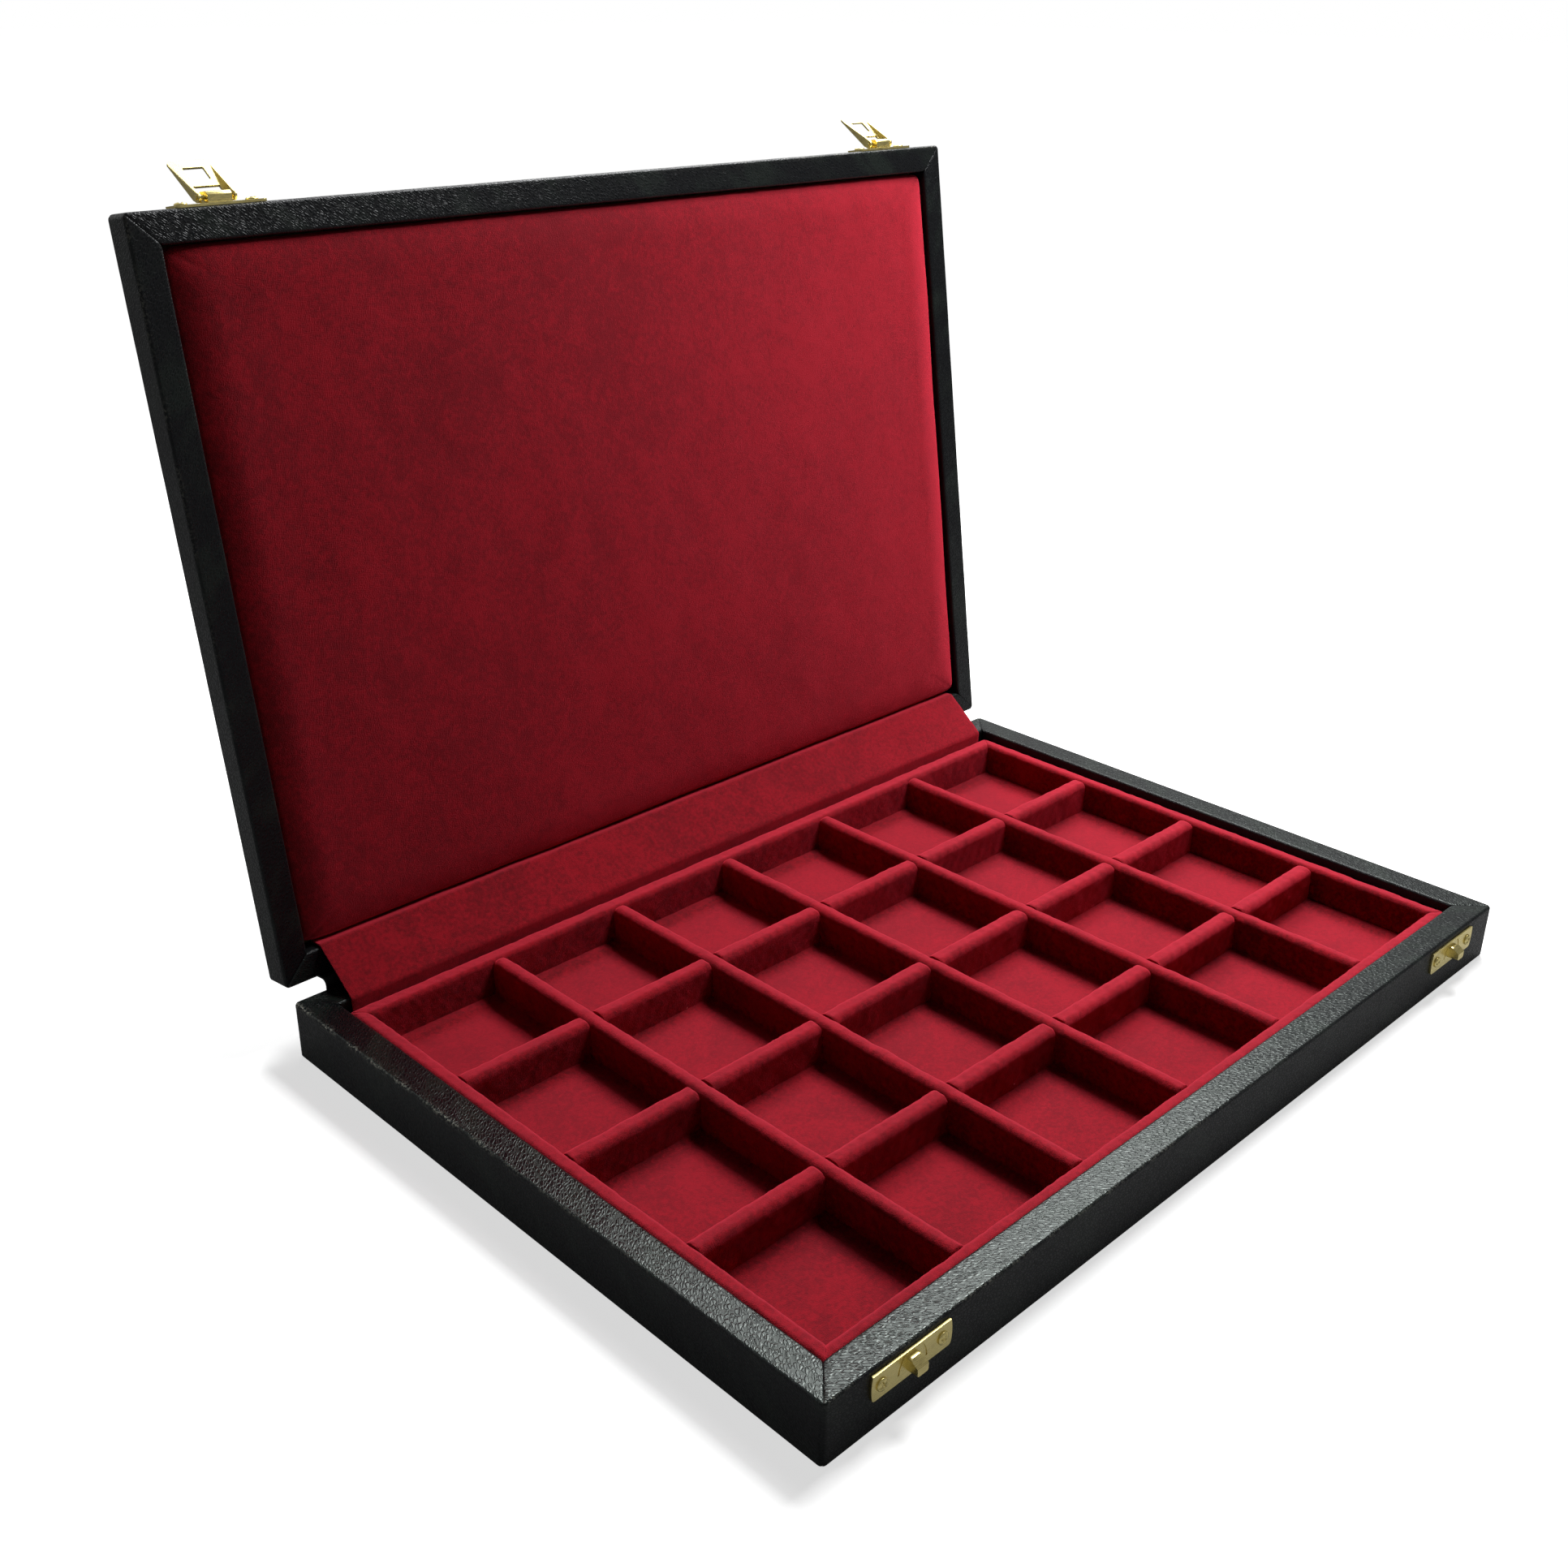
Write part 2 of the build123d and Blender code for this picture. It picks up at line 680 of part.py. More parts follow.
for hand, way in (("left", -1), ("right", 1)):
    x = way * latch_offset
    make_striker_plate(f"striker_plate_{hand}", x)
    make_knob(f"striker_knob_{hand}", x)
    make_pins(f"striker_pins_{hand}", [p for p in striker_pins if p[0] * way > 0], base.turn)
    make_latch_plate(f"latch_plate_{hand}", x)
    make_pins(f"latch_pins_{hand}", [p for p in latch_pins if p[0] * way > 0], lid.turn)
    make_pivot_pin(f"latch_pivot_pin_{hand}", x)
    make_lever(f"latch_lever_{hand}", x)
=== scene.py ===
# %% [markdown]
# # Dressing a coin display case
# The case is a shallow wooden box with a lid, both wrapped in black grained leather. Inside are a tray
# of velvet cells and a padded velvet panel, and brass levers snap over brass knobs on the front. The
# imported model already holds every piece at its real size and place, so the script loads it first and
# builds the looks around it without moving anything.

# %% Load the case
import json
import math

import bmesh
import bpy
import numpy as np
from mathutils import Matrix, Vector


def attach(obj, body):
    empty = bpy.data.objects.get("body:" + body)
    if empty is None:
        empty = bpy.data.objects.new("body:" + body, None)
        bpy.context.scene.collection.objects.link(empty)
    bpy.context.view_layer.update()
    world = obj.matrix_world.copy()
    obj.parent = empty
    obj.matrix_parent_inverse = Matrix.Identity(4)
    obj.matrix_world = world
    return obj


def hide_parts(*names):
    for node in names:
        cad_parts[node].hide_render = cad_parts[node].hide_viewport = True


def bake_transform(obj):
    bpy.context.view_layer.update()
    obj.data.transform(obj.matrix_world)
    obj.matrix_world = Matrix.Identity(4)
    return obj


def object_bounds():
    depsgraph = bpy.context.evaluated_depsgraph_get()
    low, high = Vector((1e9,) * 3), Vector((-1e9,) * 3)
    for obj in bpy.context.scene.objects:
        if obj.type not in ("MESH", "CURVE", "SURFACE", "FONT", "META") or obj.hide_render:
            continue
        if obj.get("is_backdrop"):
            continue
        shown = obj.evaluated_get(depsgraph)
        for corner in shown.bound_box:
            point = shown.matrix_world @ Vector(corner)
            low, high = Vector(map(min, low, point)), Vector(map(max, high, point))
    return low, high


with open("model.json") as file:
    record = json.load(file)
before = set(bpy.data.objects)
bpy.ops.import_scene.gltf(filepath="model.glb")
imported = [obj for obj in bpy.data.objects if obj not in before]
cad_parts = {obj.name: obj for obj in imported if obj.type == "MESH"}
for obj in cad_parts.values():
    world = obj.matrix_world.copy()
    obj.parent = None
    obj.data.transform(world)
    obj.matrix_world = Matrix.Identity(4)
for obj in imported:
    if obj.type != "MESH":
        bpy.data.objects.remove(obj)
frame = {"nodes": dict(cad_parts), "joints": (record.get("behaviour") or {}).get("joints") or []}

nodes = frame["nodes"]
joints = {joint["name"]: joint for joint in frame["joints"]}
cad_box = [list(corner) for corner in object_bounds()]

# %% [markdown]
# ## Measuring in the closed case
# Every lid piece is easiest to describe with the lid shut, where its walls are upright. The lid's
# hinge joint says where it turns and how far it stands open, so one turn carries points from the shut
# lid to the open one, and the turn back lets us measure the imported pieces. Sizes are in millimetres
# until they go into a mesh.

# %% Turn between the shut and the open lid
MM = 0.001
hinge = np.array(joints["lid_hinge"]["pos_m"]) / MM
open_angle = math.radians(joints["lid_hinge"]["range_deg"][1])


def turned(points, centre, angle):
    """Points turned about a line along X: y and z are shared out by the angle's cosine and sine."""
    across, up = points[..., 1] - centre[1], points[..., 2] - centre[2]
    y = centre[1] + across * math.cos(angle) - up * math.sin(angle)
    z = centre[2] + across * math.sin(angle) + up * math.cos(angle)
    return np.stack([points[..., 0], y, z], -1)


def opened(points):
    """Carries points of the shut lid to the open lid."""
    return turned(points, hinge, -open_angle)


def shut(points):
    """Carries points of the open lid back to the shut lid."""
    return turned(points, hinge, open_angle)


def stay(points):
    """Leaves points where they are, as the base's pieces need."""
    return points


def node_box(name, carry=stay):
    """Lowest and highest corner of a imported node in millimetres, once its points are carried."""
    mesh = nodes[name].data
    points = np.empty(len(mesh.vertices) * 3, np.float32)
    mesh.vertices.foreach_get("co", points)
    points = carry(points.reshape(-1, 3).astype(float) / MM)
    return points.min(0), points.max(0)


print(f"hinge at y {hinge[1]:.1f}, z {hinge[2]:.1f} mm, open {math.degrees(open_angle):.1f} degrees")

# %% [markdown]
# ## The camera
# The photograph looks down at the open case from its front left corner, from about 0.6 m away. A
# camera is a place, three angles and a lens. The turns are multiplied in the order yaw, pitch and
# roll, because a Blender camera looks along its own -Z with +Y up.

# %% Set the camera
camera_place = np.array([-406.2, -338.4, 334.3])
camera_yaw, camera_down, camera_roll = 44.64, 25.19, 0.54  # degrees
camera_lens = 39.21  # mm, on a 36 mm wide sensor


def add_camera():
    """Makes the scene's camera at the photograph's viewing angle."""
    data = bpy.data.cameras.new("camera")
    data.lens, data.sensor_width, data.clip_start = camera_lens, 36.0, 0.01
    camera = bpy.data.objects.new("camera", data)
    bpy.context.scene.collection.objects.link(camera)
    yaw = Matrix.Rotation(math.radians(-camera_yaw), 4, "Z")
    pitch = Matrix.Rotation(math.radians(90 - camera_down), 4, "X")
    roll = Matrix.Rotation(math.radians(camera_roll), 4, "Z")
    camera.matrix_world = Matrix.Translation(Vector(camera_place * MM)) @ yaw @ pitch @ roll
    bpy.context.scene.camera = camera


add_camera()
bpy.context.scene.view_settings.view_transform = "Standard"
print("camera at", camera_place, "mm")

# %% [markdown]
# ## Small tools for shader nodes
# A material is a tree of nodes, and most of its code is wiring. One helper makes a node, sets its
# properties and fills its sockets, either with a value or with a link. A second one starts a node
# group, which is how one effect, such as grain, serves several materials with its own numbers in each.

# %% Node helpers


def node(tree, kind, inputs=(), **properties):
    """A new shader node; each input is a value to set or another node's output to link."""
    made = tree.nodes.new("ShaderNode" + kind)
    for name, value in properties.items():
        setattr(made, name, value)
    for socket, value in dict(inputs).items():
        if isinstance(value, bpy.types.NodeSocket):
            tree.links.new(value, made.inputs[socket])
        else:
            made.inputs[socket].default_value = value
    return made


def math_node(tree, operation, first, second=0.0):
    """The output of a Math node that works on two values."""
    return node(tree, "Math", {0: first, 1: second}, operation=operation).outputs[0]


def ramp(tree, value, low, high, start=0.0, end=1.0):
    """A value that climbs smoothly from start to end while the input climbs from low to high."""
    inputs = {"Value": value, "From Min": low, "From Max": high, "To Min": start, "To Max": end}
    return node(tree, "MapRange", inputs, interpolation_type="SMOOTHSTEP").outputs[0]


def mix(tree, share, first, second, blend="MIX"):
    """A colour between two others, by a share from 0 to 1."""
    inputs = {0: share, 6: first, 7: second}
    return node(tree, "Mix", inputs, data_type="RGBA", blend_type=blend).outputs[2]


def new_group(name, inputs, outputs):
    """A node group with inputs {name: (kind, value)} and outputs {name: kind}, and its two end nodes."""
    tree = bpy.data.node_groups.new(name, "ShaderNodeTree")
    for label, (kind, value) in inputs.items():
        socket = tree.interface.new_socket(label, in_out="INPUT", socket_type="NodeSocket" + kind)
        if value is not None:
            socket.default_value = value
    for label, kind in outputs.items():
        tree.interface.new_socket(label, in_out="OUTPUT", socket_type="NodeSocket" + kind)
    start, end = tree.nodes.new("NodeGroupInput"), tree.nodes.new("NodeGroupOutput")
    return tree, start.outputs, end.inputs


def use_group(tree, group, inputs):
    """Places a node group in a material and returns its outputs."""
    made = node(tree, "Group", node_tree=group)
    for name, value in inputs.items():
        if isinstance(value, bpy.types.NodeSocket):
            tree.links.new(value, made.inputs[name])
        else:
            made.inputs[name].default_value = value
    return made.outputs


def new_material(name):
    """A material with a Principled shader, and its tree and shader."""
    material = bpy.data.materials.new(name)
    material.use_nodes = True
    return material, material.node_tree, material.node_tree.nodes["Principled BSDF"]


print("node helpers ready")

# %% [markdown]
# ## Effects that several finishes share
# Leather grain is a pavement of small rounded pebbles with creases between them. A Voronoi texture's
# distance to the nearest cell edge gives just that, once its coordinates are stirred by noise so that
# no cell is a neat polygon. The pile of velvet is finer and has no cells: it is speckled by its single
# tufts, and clouded where a hand has brushed it another way. Wear gathers on edges and comes off in
# dots, because only the tops of the grain are rubbed.

# %% Pebbled grain, brushed pile, edge wear and stray lint


def make_grain():
    """Height is high on a pebble and low in a crease; Tone drifts slowly over the hide."""
    inputs = {"Vector": ("Vector", None), "Pebbles": ("Float", 900.0), "Stir": ("Float", 0.0006)}
    tree, get, put = new_group("pebbled_grain", inputs, {"Height": "Float", "Tone": "Float"})
    stir_scale = math_node(tree, "MULTIPLY", get["Pebbles"], 0.6)
    stir = node(tree, "TexNoise", {"Vector": get["Vector"], "Scale": stir_scale, "Detail": 2.0})
    centred = node(tree, "VectorMath", {0: stir.outputs["Color"], 1: (0.5, 0.5, 0.5)}, operation="SUBTRACT")
    shift = node(tree, "VectorMath", {0: centred.outputs[0], "Scale": get["Stir"]}, operation="SCALE")
    place = node(tree, "VectorMath", {0: get["Vector"], 1: shift.outputs[0]}, operation="ADD").outputs[0]
    cells = {"Vector": place, "Scale": get["Pebbles"], "Randomness": 0.95}
    edge = node(tree, "TexVoronoi", cells, feature="DISTANCE_TO_EDGE").outputs["Distance"]
    pebble = ramp(tree, edge, 0.01, 0.26)
    fine = node(tree, "TexNoise", {"Vector": place, "Scale": math_node(tree, "MULTIPLY", get["Pebbles"], 3.1),
                                   "Detail": 3.0}).outputs["Fac"]
    fine_share = math_node(tree, "MULTIPLY", fine, 0.14)
    tree.links.new(math_node(tree, "ADD", pebble, fine_share), put["Height"])
    tone = node(tree, "TexNoise", {"Vector": get["Vector"], "Scale": 55.0, "Detail": 4.0}).outputs["Fac"]
    tree.links.new(tone, put["Tone"])
    return tree


def make_pile():
    """Height is the tufts' own; Nap is light where the pile is brushed towards the eye."""
    inputs = {"Vector": ("Vector", None), "Tufts": ("Float", 3200.0), "Clouds": ("Float", 38.0)}
    tree, get, put = new_group("brushed_pile", inputs, {"Height": "Float", "Nap": "Float"})
    tuft = node(tree, "TexNoise", {"Vector": get["Vector"], "Scale": get["Tufts"], "Detail": 2.0}).outputs["Fac"]
    tree.links.new(tuft, put["Height"])
    clouds = {"Vector": get["Vector"], "Scale": get["Clouds"], "Detail": 5.0, "Roughness": 0.62,
              "Distortion": 0.6}
    cloud = node(tree, "TexNoise", clouds).outputs["Fac"]
    wisp_scale = math_node(tree, "MULTIPLY", get["Clouds"], 9.0)
    wisps = {"Vector": get["Vector"], "Scale": wisp_scale, "Detail": 3.0, "Distortion": 1.2}
    wisp = node(tree, "TexNoise", wisps).outputs["Fac"]
    clumps = {"Vector": get["Vector"], "Scale": math_node(tree, "MULTIPLY", get["Tufts"], 0.22), "Detail": 4.0,
              "Roughness": 0.75}
    clump = node(tree, "TexNoise", clumps).outputs["Fac"]
    shares = math_node(tree, "MULTIPLY", cloud, 0.30)
    wisp_share = math_node(tree, "MULTIPLY", wisp, 0.22)
    clump_share = math_node(tree, "MULTIPLY", clump, 0.48)
    total = math_node(tree, "ADD", math_node(tree, "ADD", shares, wisp_share), clump_share)
    tree.links.new(ramp(tree, total, 0.40, 0.60), put["Nap"])
    return tree


def make_wear():
    """Mask is 1 where an edge is rubbed: the edge's own value, broken into dots by noise."""
    inputs = {"Vector": ("Vector", None), "Edge": ("Float", 0.0), "Dots": ("Float", 900.0)}
    tree, get, put = new_group("edge_wear", inputs, {"Mask": "Float"})
    dots = node(tree, "TexNoise", {"Vector": get["Vector"], "Scale": get["Dots"], "Detail": 2.0}).outputs["Fac"]
    spread = node(tree, "TexNoise", {"Vector": get["Vector"], "Scale": 70.0}).outputs["Fac"]
    rubbed = math_node(tree, "MULTIPLY", get["Edge"], ramp(tree, dots, 0.46, 0.58))
    tree.links.new(math_node(tree, "MULTIPLY", rubbed, ramp(tree, spread, 0.38, 0.6)), put["Mask"])
    return tree


def make_lint():
    """Mask is 1 on a few stray specks of fluff, one in a good many cells of a Voronoi texture."""
    inputs = {"Vector": ("Vector", None), "Cells": ("Float", 90.0), "Size": ("Float", 0.035)}
    tree, get, put = new_group("stray_lint", inputs, {"Mask": "Float"})
    cells = node(tree, "TexVoronoi", {"Vector": get["Vector"], "Scale": get["Cells"]})
    near = math_node(tree, "LESS_THAN", cells.outputs["Distance"], get["Size"])
    chosen = node(tree, "SeparateColor", {0: cells.outputs["Color"]}).outputs[0]
    tree.links.new(math_node(tree, "MULTIPLY", near, math_node(tree, "GREATER_THAN", chosen, 0.82)),
                   put["Mask"])
    return tree


grain, pile, wear, lint = make_grain(), make_pile(), make_wear(), make_lint()
print("shared effects:", [group.name for group in (grain, pile, wear, lint)])

# %% [markdown]
# ## The finishes
# The leather is dyed through and sealed, so it is nearly black with a soft shine that breaks on its
# grain. The rims are polished by hands and the walls are duller, so one function makes both. The grain
# reads the piece's own UV map, laid out in metres along and across the wall, and turns with the wall
# at each mitre as a cut strip of hide does.

# %% Black leather


def leather(name, dull, shine, relief, pebbles=900.0, tint=(0.96, 0.98, 1.0, 1)):
    """Grained black leather; dull is its roughness, shine its specular level, relief its grain's height."""
    material, tree, shader = new_material(name)
    uv = node(tree, "UVMap").outputs[0]
    drawn_out = node(tree, "Mapping", {"Vector": uv, "Rotation": (0, 0, math.radians(-40)), "Scale": (1.5, 0.6, 1)},
                     vector_type="TEXTURE").outputs[0]
    skin = use_group(tree, grain, {"Vector": drawn_out, "Pebbles": pebbles})
    edge = node(tree, "Attribute", attribute_name="edge").outputs["Fac"]
    rubbed = use_group(tree, wear, {"Vector": uv, "Edge": edge})["Mask"]
    fluff = use_group(tree, lint, {"Vector": uv, "Cells": 70.0, "Size": 0.012})["Mask"]
    deep, raised = (0.0005, 0.0007, 0.0011, 1), (0.0026, 0.0032, 0.0042, 1)
    dyed = mix(tree, skin["Height"], deep, raised)
    toned = mix(tree, ramp(tree, skin["Tone"], 0.45, 0.65, 0.0, 0.6), dyed, (0.0080, 0.0125, 0.0095, 1))
    worn = mix(tree, rubbed, toned, (0.52, 0.52, 0.44, 1))
    tree.links.new(mix(tree, fluff, worn, (0.25, 0.26, 0.28, 1)), shader.inputs["Base Color"])
    gloss = ramp(tree, skin["Height"], 0.1, 1.0, dull + 0.10, dull - 0.06)
    tree.links.new(gloss, shader.inputs["Roughness"])
    bump = node(tree, "Bump", {"Strength": 1.0, "Distance": relief, "Height": skin["Height"]})
    tree.links.new(bump.outputs[0], shader.inputs["Normal"])
    shader.inputs["Specular IOR Level"].default_value = shine
    shader.inputs["Specular Tint"].default_value = tint
    return material


rim_leathers = {
    "base": leather("base_rim_leather", dull=0.25, shine=0.30, relief=0.00007, pebbles=700.0, tint=(0.88, 1.0, 0.94, 1)),
    "lid": leather("lid_rim_leather", dull=0.32, shine=0.24, relief=0.00006)}
wall_leather = leather("wall_leather", dull=0.44, shine=0.25, relief=0.00007)
print("leathers:", [made.name for made in (*rim_leathers.values(), wall_leather)])

# %% [markdown]
# Velvet is dark when you look straight into its pile and glows where you see the pile from the side. The Principled
# shader's sheen does part of the glow and stays on the shader's own sockets. The rest is a painted sheen: a paler
# crimson that Layer Weight mixes into the colour where a surface is seen from the side. The brushed pile gives the
# crimson its clouds. A value stored on each mesh paints light and shade into the colour. It is high on tops and
# round edges, where they would catch the light, which it paints lighter. It is low down the sides of the dividers
# and where the floor curls up at their foot, which it paints darker.

# %% Crimson velvet


def velvet(name, coordinates, glow, clouds=38.0, dark=(0.016, 0.0004, 0.0008, 1), light=(0.25, 0.0030, 0.0086, 1)):
    """Velvet with a brushed nap; coordinates is UV for cloth that bends, or Object for glued cloth."""
    material, tree, shader = new_material(name)
    place = node(tree, "UVMap").outputs[0] if coordinates == "UV" else node(tree, "TexCoord").outputs["Object"]
    cloth = use_group(tree, pile, {"Vector": place, "Clouds": clouds})
    # painted light and shade: a stored value that lightens tops and round edges and darkens the sides and corners
    # below them
    painted_light_and_shade = node(tree, "Attribute", attribute_name="painted_light_and_shade").outputs["Fac"]
    # the colour climbs from dark to light with the real nap clouds and with the painted light and shade
    brushed = math_node(tree, "MULTIPLY", cloth["Nap"], 0.66)
    nap_and_painted_light = math_node(tree, "ADD", brushed, math_node(tree, "MULTIPLY", painted_light_and_shade, 0.43))
    # painted sheen: a paler crimson is mixed into the colour where the surface is seen from the side, on top of the
    # shader's own sheen
    facing = node(tree, "LayerWeight", {"Blend": 0.5}).outputs["Facing"]
    painted_sheen = math_node(tree, "MULTIPLY", math_node(tree, "POWER", facing, 1.6), painted_light_and_shade)
    crimson = mix(tree, painted_sheen, mix(tree, nap_and_painted_light, dark, light), (0.68, 0.052, 0.088, 1))
    fluff = use_group(tree, lint, {"Vector": place, "Cells": 45.0, "Size": 0.016})["Mask"]
    tree.links.new(mix(tree, fluff, crimson, (0.62, 0.25, 0.26, 1)), shader.inputs["Base Color"])
    shader.inputs["Roughness"].default_value = 0.95
    shader.inputs["Specular IOR Level"].default_value = 0.15
    shader.inputs["Sheen Weight"].default_value = glow
    shader.inputs["Sheen Roughness"].default_value = 0.50
    shader.inputs["Sheen Tint"].default_value = (1.0, 0.038, 0.076, 1)
    bump = node(tree, "Bump", {"Strength": 0.8, "Distance": 0.00030, "Height": cloth["Height"]})
    tree.links.new(bump.outputs[0], shader.inputs["Normal"])
    return material


tray_velvet = velvet("tray_velvet", "Object", glow=1.0)
pad_velvet = velvet("pad_velvet", "Object", glow=1.0, clouds=16.0, light=(0.20, 0.0024, 0.0068, 1))
lining_velvet = velvet("lining_velvet", "UV", glow=1.0, clouds=30.0)
print("velvets:", tray_velvet.name, pad_velvet.name, lining_velvet.name)

# %% [markdown]
# The brass is stamped, lightly brushed along its length and lacquered, so it is a pale gold with fine
# streaks and darker, browner patches where it has tarnished. Streaks are noise stretched a long way
# along X. Wood and card are inside the case, where only a part taken off would show them, but they
# have their grain and fibres all the same.

# %% Brass, wood and card


def stretched(tree, scale):
    """Object coordinates scaled by different amounts each way, which stretches a pattern."""
    place = node(tree, "TexCoord").outputs["Object"]
    return node(tree, "Mapping", {"Vector": place, "Scale": scale}).outputs[0]


def make_brass():
    """Pale gold, brushed along X, with tarnish in clouds."""
    material, tree, shader = new_material("brass")
    streak = node(tree, "TexNoise", {"Vector": stretched(tree, (300.0, 6000.0, 6000.0)), "Scale": 1.0,
                                     "Detail": 3.0}).outputs["Fac"]
    cloud = node(tree, "TexNoise", {"Vector": stretched(tree, (260.0, 260.0, 260.0)), "Scale": 1.0,
                                    "Detail": 4.0}).outputs["Fac"]
    tarnish = ramp(tree, cloud, 0.50, 0.80, 0.0, 0.45)
    gold = mix(tree, streak, (0.68, 0.56, 0.20, 1), (0.87, 0.75, 0.34, 1))
    tree.links.new(mix(tree, tarnish, gold, (0.34, 0.25, 0.10, 1)), shader.inputs["Base Color"])
    tree.links.new(ramp(tree, streak, 0.2, 0.8, 0.24, 0.36), shader.inputs["Roughness"])
    bump = node(tree, "Bump", {"Strength": 0.3, "Distance": 0.00001, "Height": streak})
    tree.links.new(bump.outputs[0], shader.inputs["Normal"])
    shader.inputs["Metallic"].default_value = 1.0
    return material


def make_wood():
    """Pale planed wood: rings as a wave, bent by noise, with fine pores along the grain."""
    material, tree, shader = new_material("planed_wood")
    place = stretched(tree, (30.0, 30.0, 160.0))
    rings = node(tree, "TexWave", {"Vector": place, "Scale": 1.4, "Distortion": 5.0, "Detail": 3.0}).outputs["Fac"]
    pores = node(tree, "TexNoise", {"Vector": stretched(tree, (60.0, 900.0, 900.0)), "Scale": 1.0}).outputs["Fac"]
    plank = mix(tree, rings, (0.50, 0.32, 0.16, 1), (0.62, 0.43, 0.24, 1))
    tree.links.new(mix(tree, ramp(tree, pores, 0.55, 0.75), plank, (0.30, 0.17, 0.08, 1)),
                   shader.inputs["Base Color"])
    shader.inputs["Roughness"].default_value = 0.7
    bump = node(tree, "Bump", {"Strength": 0.3, "Distance": 0.0001, "Height": pores})
    tree.links.new(bump.outputs[0], shader.inputs["Normal"])
    return material


def make_card():
    """Grey card with short fibres."""
    material, tree, shader = new_material("grey_card")
    fibres = node(tree, "TexNoise", {"Vector": stretched(tree, (900.0, 1500.0, 900.0)), "Scale": 1.0,
                                     "Detail": 4.0, "Distortion": 2.0}).outputs["Fac"]
    tree.links.new(mix(tree, fibres, (0.28, 0.25, 0.21, 1), (0.42, 0.39, 0.34, 1)), shader.inputs["Base Color"])
    shader.inputs["Roughness"].default_value = 0.9
    bump = node(tree, "Bump", {"Strength": 0.3, "Distance": 0.00008, "Height": fibres})
    tree.links.new(bump.outputs[0], shader.inputs["Normal"])
    return material


brass, wood, card = make_brass(), make_wood(), make_card()
print("finishes:", brass.name, wood.name, card.name)

# %% [markdown]
# ## From arrays to pieces
# A surface is an array of points with two directions, so its faces are the squares between neighbours.
# Leather and cloth have two such surfaces, a face and a back, joined round the border. A bar is one
# surface whose second direction closes on itself, with a lid on each end. All of it is arithmetic on
# whole arrays, and Blender gets the result in one go.

# %% Faces of grids, and a piece made from them


def grid_faces(rows, columns, closed=False):
    """Corner numbers of the squares of a grid; a closed grid's last column joins its first."""
    row, column = np.meshgrid(np.arange(rows - 1), np.arange(columns if closed else columns - 1), indexing="ij")
    after = (column + 1) % columns
    corners = [row * columns + column, row * columns + after, (row + 1) * columns + after,
               (row + 1) * columns + column]
    return np.stack(corners, -1).reshape(-1, 4)


def sheet_faces(rows, columns):
    """Faces of a sheet with a face and a back: two grids of points, joined round the border."""
    face = grid_faces(rows, columns)
    count = rows * columns
    number = np.arange(count).reshape(rows, columns)
    border = np.concatenate([number[0, :-1], number[:-1, -1], number[-1, :0:-1], number[:0:-1, 0]])
    after = np.roll(border, -1)
    rim = np.stack([after, border, border + count, after + count], -1)
    return np.concatenate([face, face[:, ::-1] + count, rim])


def bar_faces(rows, columns):
    """Faces of a bar: a closed grid, and one many-sided face on each end."""
    ends = [list(range(columns - 1, -1, -1)), list(range((rows - 1) * columns, rows * columns))]
    return grid_faces(rows, columns, closed=True).tolist() + ends


def vertex_array(mesh, name, kind="FLOAT", width=1):
    """The values of a mesh attribute, one row for each vertex."""
    values = np.empty(len(mesh.vertices) * width, np.float32)
    mesh.attributes[name].data.foreach_get("vector" if kind == "VECTOR" else "value", values)
    return values.reshape(-1, width)


def make_piece(name, points, faces, material, body, stands_for=(), carry=stay, uv=None, values=(),
               smooth=40.0):
    """A mesh from points in millimetres, with its UV map, stored values, material and body; the imported parts it
    stands for are hidden.
    """
    mesh = bpy.data.meshes.new(name)
    mesh.from_pydata(carry(points.reshape(-1, 3)) * MM, [], faces)
    tidy = bmesh.new()
    tidy.from_mesh(mesh)
    bmesh.ops.recalc_face_normals(tidy, faces=tidy.faces)
    tidy.to_mesh(mesh)
    tidy.free()
    if uv is not None:
        corners = np.empty(len(mesh.loops), np.int32)
        mesh.loops.foreach_get("vertex_index", corners)
        layer = mesh.uv_layers.new(name="UVMap")
        layer.data.foreach_set("uv", (uv.reshape(-1, 2)[corners] * MM).astype(np.float32).ravel())
    for label, numbers in dict(values).items():
        stored = mesh.attributes.new(label, "FLOAT", "POINT")
        stored.data.foreach_set("value", np.asarray(numbers, np.float32).ravel())
    mesh.shade_smooth()
    mesh.set_sharp_from_angle(angle=math.radians(smooth))
    for finish in material if isinstance(material, list) else [material]:
        mesh.materials.append(finish)
    piece = bpy.data.objects.new(name, mesh)
    bpy.context.scene.collection.objects.link(piece)
    if body:
        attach(piece, body)
    if stands_for:
        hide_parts(*stands_for)
    return piece


print("a square of four points has", len(grid_faces(2, 2)), "face")

# %% [markdown]
# ## Lines and unevenness
# Profiles and routes are straight runs with rounded corners, so one function makes them all. Nothing
# wrapped by hand is quite even. A sum of a few waves in fixed random directions is a cheap smooth
# unevenness: it needs no texture, it is the same each time, and it is one line of array arithmetic.

# %% Rounded routes and gentle unevenness


def run(start, end, step):
    """Points from start to end, about a step apart, both ends included."""
    count = max(2, int(np.ceil(np.linalg.norm(end - start) / step)) + 1)
    return start + np.linspace(0, 1, count)[:, None] * (end - start)


